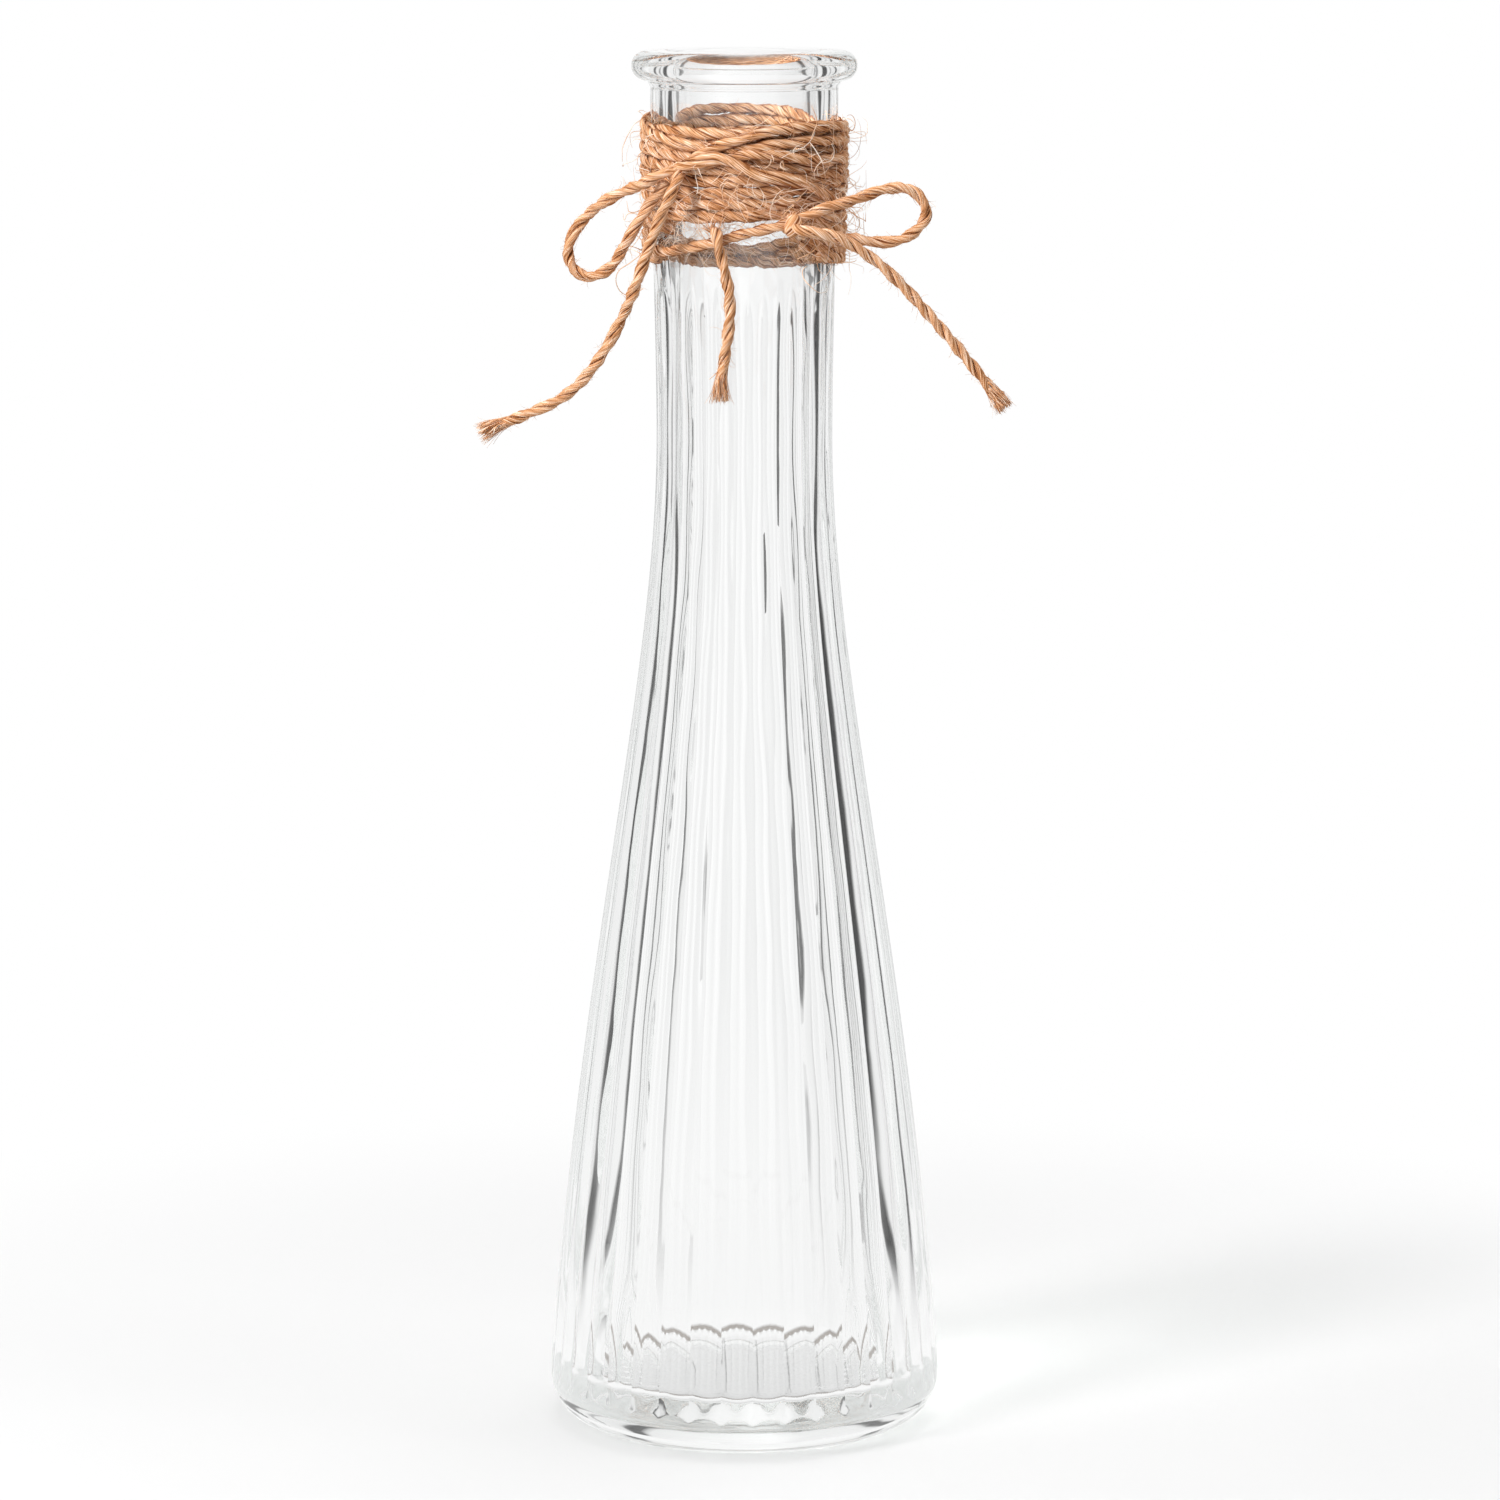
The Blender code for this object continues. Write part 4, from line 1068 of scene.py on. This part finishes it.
def glassProfile():
    g = vaseGlass
    points = [(0.0, g["recessDepth"])]
    for step in range(1, 7):                      # under side, out to the bearing ring
        share = step / 6
        points.append((g["recessRadius"] * share, g["recessDepth"] * (1.0 - g["recessFall"] * share ** 2)))
    for step in range(1, 5):
        share = step / 4
        radius = blendValue(g["recessRadius"], g["bearingRadius"], share)
        edge = (1.0 - g["recessFall"]) * g["recessDepth"]
        points.append((radius, edge * (1.0 - float(smoothStep(share)))))
    heelCentre = g["baseRadius"] - g["heelRadius"]
    for turn in quarterTurn(14):                  # rounded heel
        points.append((
            heelCentre + g["heelRadius"] * math.sin(turn),
            g["heelRadius"] * (1.0 - math.cos(turn)),
        ))
    points += [flarePoint(step / 56) for step in range(57)]
    for height in np.linspace(g["waistHeight"], g["collarBottom"], 26)[1:]:
        points.append((float(bodyRadius(height)), float(height)))
    collar = g["neckTopRadius"] + g["collarStep"]
    for step in range(1, 7):                      # the neck swells a little under the ring
        points.append((
            collar - g["collarStep"] * (1.0 - float(smoothStep(step / 6))),
            g["collarBottom"] + g["collarHeight"] * step / 6,
        ))
    tube = g["rimThickness"] / 2
    rimCentre = (collar + g["rimOverhang"] - tube, g["height"] - tube)
    for turn in np.radians(np.linspace(g["rimFrom"], 90, 22)):      # rolled ring
        points.append((rimCentre[0] + tube * math.cos(turn), rimCentre[1] + tube * math.sin(turn)))
    mouth = g["height"] - g["lipRound"]
    for turn in quarterTurn(8):                   # over the lip into the bore
        points.append((
            g["boreRadius"] + g["lipRound"] * (1.0 - math.sin(turn)),
            mouth + g["lipRound"] * math.cos(turn),
        ))
    for height in np.linspace(mouth, g["waistHeight"], 22)[1:]:
        points.append((g["boreRadius"], float(height)))
    cornerHeight = g["floorThickness"] + g["floorCorner"]
    for height in np.linspace(g["waistHeight"], cornerHeight, 44)[1:]:
        points.append((float(innerRadius(height)), float(height)))
    side = float(innerRadius(cornerHeight))
    for turn in quarterTurn(10, first=1):         # round the corner on to the floor
        points.append((
            side - g["floorCorner"] * (1.0 - math.cos(turn)),
            cornerHeight - g["floorCorner"] * math.sin(turn),
        ))
    flat = points[-1][0]
    for step in range(1, 9):                      # slightly crowned floor
        share = 1.0 - step / 8
        points.append((flat * share, g["floorThickness"] + g["floorCrown"] * (1.0 - share ** 2)))
    return points


def pressReeds(mesh):
    g = vaseGlass
    co = np.empty(len(mesh.vertices) * 3)
    mesh.vertices.foreach_get("co", co)
    co = co.reshape(-1, 3)
    radius = np.hypot(co[:, 0], co[:, 1])
    height = co[:, 2]
    angle = np.arctan2(co[:, 1], co[:, 0])
    inside = innerRadius(np.maximum(height, g["floorThickness"]))
    outer = (radius > (inside + bodyRadius(height)) / 2) & (height > 1e-6) & (height < g["ribTop"])
    across = (angle / fullTurn * g["ribCount"]) % 1.0 * 2.0 - 1.0
    bodyShare = bodyRadius(height) / g["baseRadius"]

    # the reeds outside, which the rounded heel cuts off
    runIn = np.sqrt(smoothStep((g["ribTop"] - height) / g["ribRun"]))
    low = smoothStep((height - g["heelFadeLow"]) / (g["heelFadeHigh"] - g["heelFadeLow"]))
    cut = g["ribDepth"] * bodyShare * runIn * blendValue(g["heelReeds"], 1.0, low) * across ** 2
    rise = np.clip(g["heelRadius"] - height, 0.0, g["heelRadius"])
    heel = g["baseRadius"] - g["heelRadius"] + np.sqrt(g["heelRadius"] ** 2 - rise ** 2)
    newRadius = np.where(outer, np.minimum(bodyRadius(height) - cut, heel), radius)

    # the ripple of the inside
    rng = np.random.default_rng(5)
    ripple = np.zeros(len(co))
    for _ in range(g["rippleKinds"]):
        number = rng.integers(*g["rippleCounts"])
        wave = rng.uniform(*g["rippleLengths"]) * rng.choice((-1, 1))
        swing = np.cos(number * angle + fullTurn * height / wave + rng.uniform(0, anyPhase))
        ripple += swing / math.sqrt(number / 4 + 1)
    overFloor = height - g["floorThickness"] - g["rippleFrom"]
    bore = (~outer) & (radius < bodyRadius(height) - 0.0015) & (overFloor > 0.0)
    underTop = g["rippleTop"] - height
    fade = smoothStep(overFloor / g["rippleRunIn"]) * smoothStep(underTop / g["rippleRunOut"])
    newRadius = newRadius + np.where(bore, g["ripple"] * ripple * fade, 0.0)

    # low down, the inside's swells and the waved corner of the floor
    within = (~outer) & (height > g["floorThickness"] - 0.0001) & (height < g["waistHeight"])
    share = smoothStep((radius / inside - g["innerRibFrom"]) / g["innerRibOver"])
    share = share * smoothStep((g["innerRibTop"] - height) / g["innerRibFade"])
    swell = g["innerRibDepth"] * bodyShare * (1.6 * across ** 2 - 0.6) * share
    newRadius = newRadius + np.where(within, swell, 0.0)
    wave = g["cornerWave"] * (across ** 2 - 0.33) * share
    wave = wave * smoothStep((g["cornerWaveTop"] - height) / g["cornerWaveFade"])
    co[:, 2] += np.where(within, wave, 0.0)

    scale = np.where(radius > 1e-9, newRadius / np.maximum(radius, 1e-9), 1.0)
    co[:, :2] *= scale[:, None]
    mesh.vertices.foreach_set("co", co.ravel())
    mesh.update()


def makeGlassMaterial():
    g = vaseGlass
    material, tree = newMaterial("clearPressedGlass")
    shader = tree.nodes["Principled BSDF"]
    shader.inputs["Roughness"].default_value = 0.0
    shader.inputs["IOR"].default_value = g["ior"]
    shader.inputs["Transmission Weight"].default_value = 1.0
    place = objectPlace(tree)
    wave = noiseOf(tree, place, g["waveScale"], 2.0, g["waveStretch"])
    tree.links.new(bumpOf(tree, wave, g["waveStrength"], g["waveDepth"]), shader.inputs["Normal"])

    # the painted shade is darkest along a ring on the floor's corner, and clears with the distance from it
    corner = g["floorThickness"] + g["floorCorner"]
    turn = math.radians(g["paintedShadeRingTurn"])
    ringRadius = float(innerRadius(corner)) - g["floorCorner"] * (1.0 - math.cos(turn))
    ringHeight = corner - g["floorCorner"] * math.sin(turn)
    split = splitOf(tree, place)
    flat = addNode(tree, "CombineXYZ", {"X": split["X"], "Y": split["Y"]}).outputs[0]
    section = addNode(tree, "CombineXYZ", {
        "X": mathOf(tree, "SUBTRACT", lengthOf(tree, flat), ringRadius),
        "Z": mathOf(tree, "SUBTRACT", split["Z"], ringHeight),
    }).outputs[0]
    core = g["paintedShadeRingCore"] * g["paintedShadeRingWidth"]
    cleared = mapRange(tree, lengthOf(tree, section), core, g["paintedShadeRingWidth"], smooth=True)
    tree.links.new(rampOf(tree, cleared, g["paintedShadeRing"]), shader.inputs["Base Color"])
    smear = noiseOf(tree, place, g["smearScale"], 4.0)
    polish = mapRange(tree, smear, g["smearFrom"], g["smearTo"], 0.0, g["smearRoughness"])
    tree.links.new(polish, shader.inputs["Roughness"])

    # lamps shine through the glass on to the table
    lampThrough = addNode(tree, "BsdfTransparent", {"Color": g["lampThrough"]}).outputs[0]
    both = mixShader(tree, lightPath(tree, "Is Shadow Ray"), shader.outputs[0], lampThrough)
    tint = addNode(tree, "VolumeAbsorption", {"Color": g["tint"], "Density": g["tintDensity"]}).outputs[0]
    output = tree.nodes["Material Output"]
    tree.links.new(both, output.inputs["Surface"])
    tree.links.new(tint, output.inputs["Volume"])
    return material


def makeGlass():
    profile = glassProfile()
    bpy.ops.mesh.primitive_plane_add(size=0.001)
    glass = bpy.context.object
    glass.name = "clearGlass"
    bpy.ops.object.mode_set(mode="EDIT")
    bpy.ops.mesh.select_all(action="SELECT")
    bpy.ops.mesh.merge(type="CENTER")
    bpy.ops.transform.translate(value=(profile[0][0], 0.0, profile[0][1]))
    for before, after in zip(profile, profile[1:]):
        step = (after[0] - before[0], 0.0, after[1] - before[1])
        bpy.ops.mesh.extrude_region_move(TRANSFORM_OT_translate={"value": step})
    bpy.ops.object.mode_set(mode="OBJECT")
    screw = glass.modifiers.new("turn", "SCREW")
    screw.steps = screw.render_steps = vaseGlass["ribCount"] * vaseGlass["columnsPerRib"]
    screw.use_merge_vertices = True
    screw.merge_threshold = vaseGlass["weld"]
    bpy.ops.object.modifier_apply(modifier="turn")
    pressReeds(glass.data)
    bpy.ops.object.mode_set(mode="EDIT")
    bpy.ops.mesh.select_all(action="SELECT")
    bpy.ops.mesh.normals_make_consistent(inside=False)
    bpy.ops.object.mode_set(mode="OBJECT")
    glass.rotation_euler.z = math.radians(vaseGlass["ribTurn"])
    bpy.ops.object.transform_apply(location=False, rotation=True, scale=False)
    bpy.ops.object.shade_smooth_by_angle(angle=math.radians(vaseGlass["smoothAngle"]))
    glass.data.materials.append(makeGlassMaterial())
    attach(glass, "root")
    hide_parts("glass_body")
    print("clearGlass:", len(glass.data.vertices), "points,", len(glass.data.polygons), "faces")


# Everything is made here, the camera and the cords first

makeCamera()
juteMaterial = makeJuteMaterial()
makeCords()
print("cords ready")
makeWorld()
makeLamps()
makeFloor()
makeTent()
print("studio ready")
makeBand()
makeLyingStrands()
makeKnot("rightKnot", "knot_right", rightKnot)
makeKnot("leftHitch", "knot_left", leftHitch)
makeFuzz()
makeStrayFibres()
print("twine ready")
makeGlass()

bpy.context.scene.view_settings.view_transform = "Standard"
for kind in ("max", "glossy", "transmission"):
    setattr(bpy.context.scene.cycles, f"{kind}_bounces", studio["bounces"])
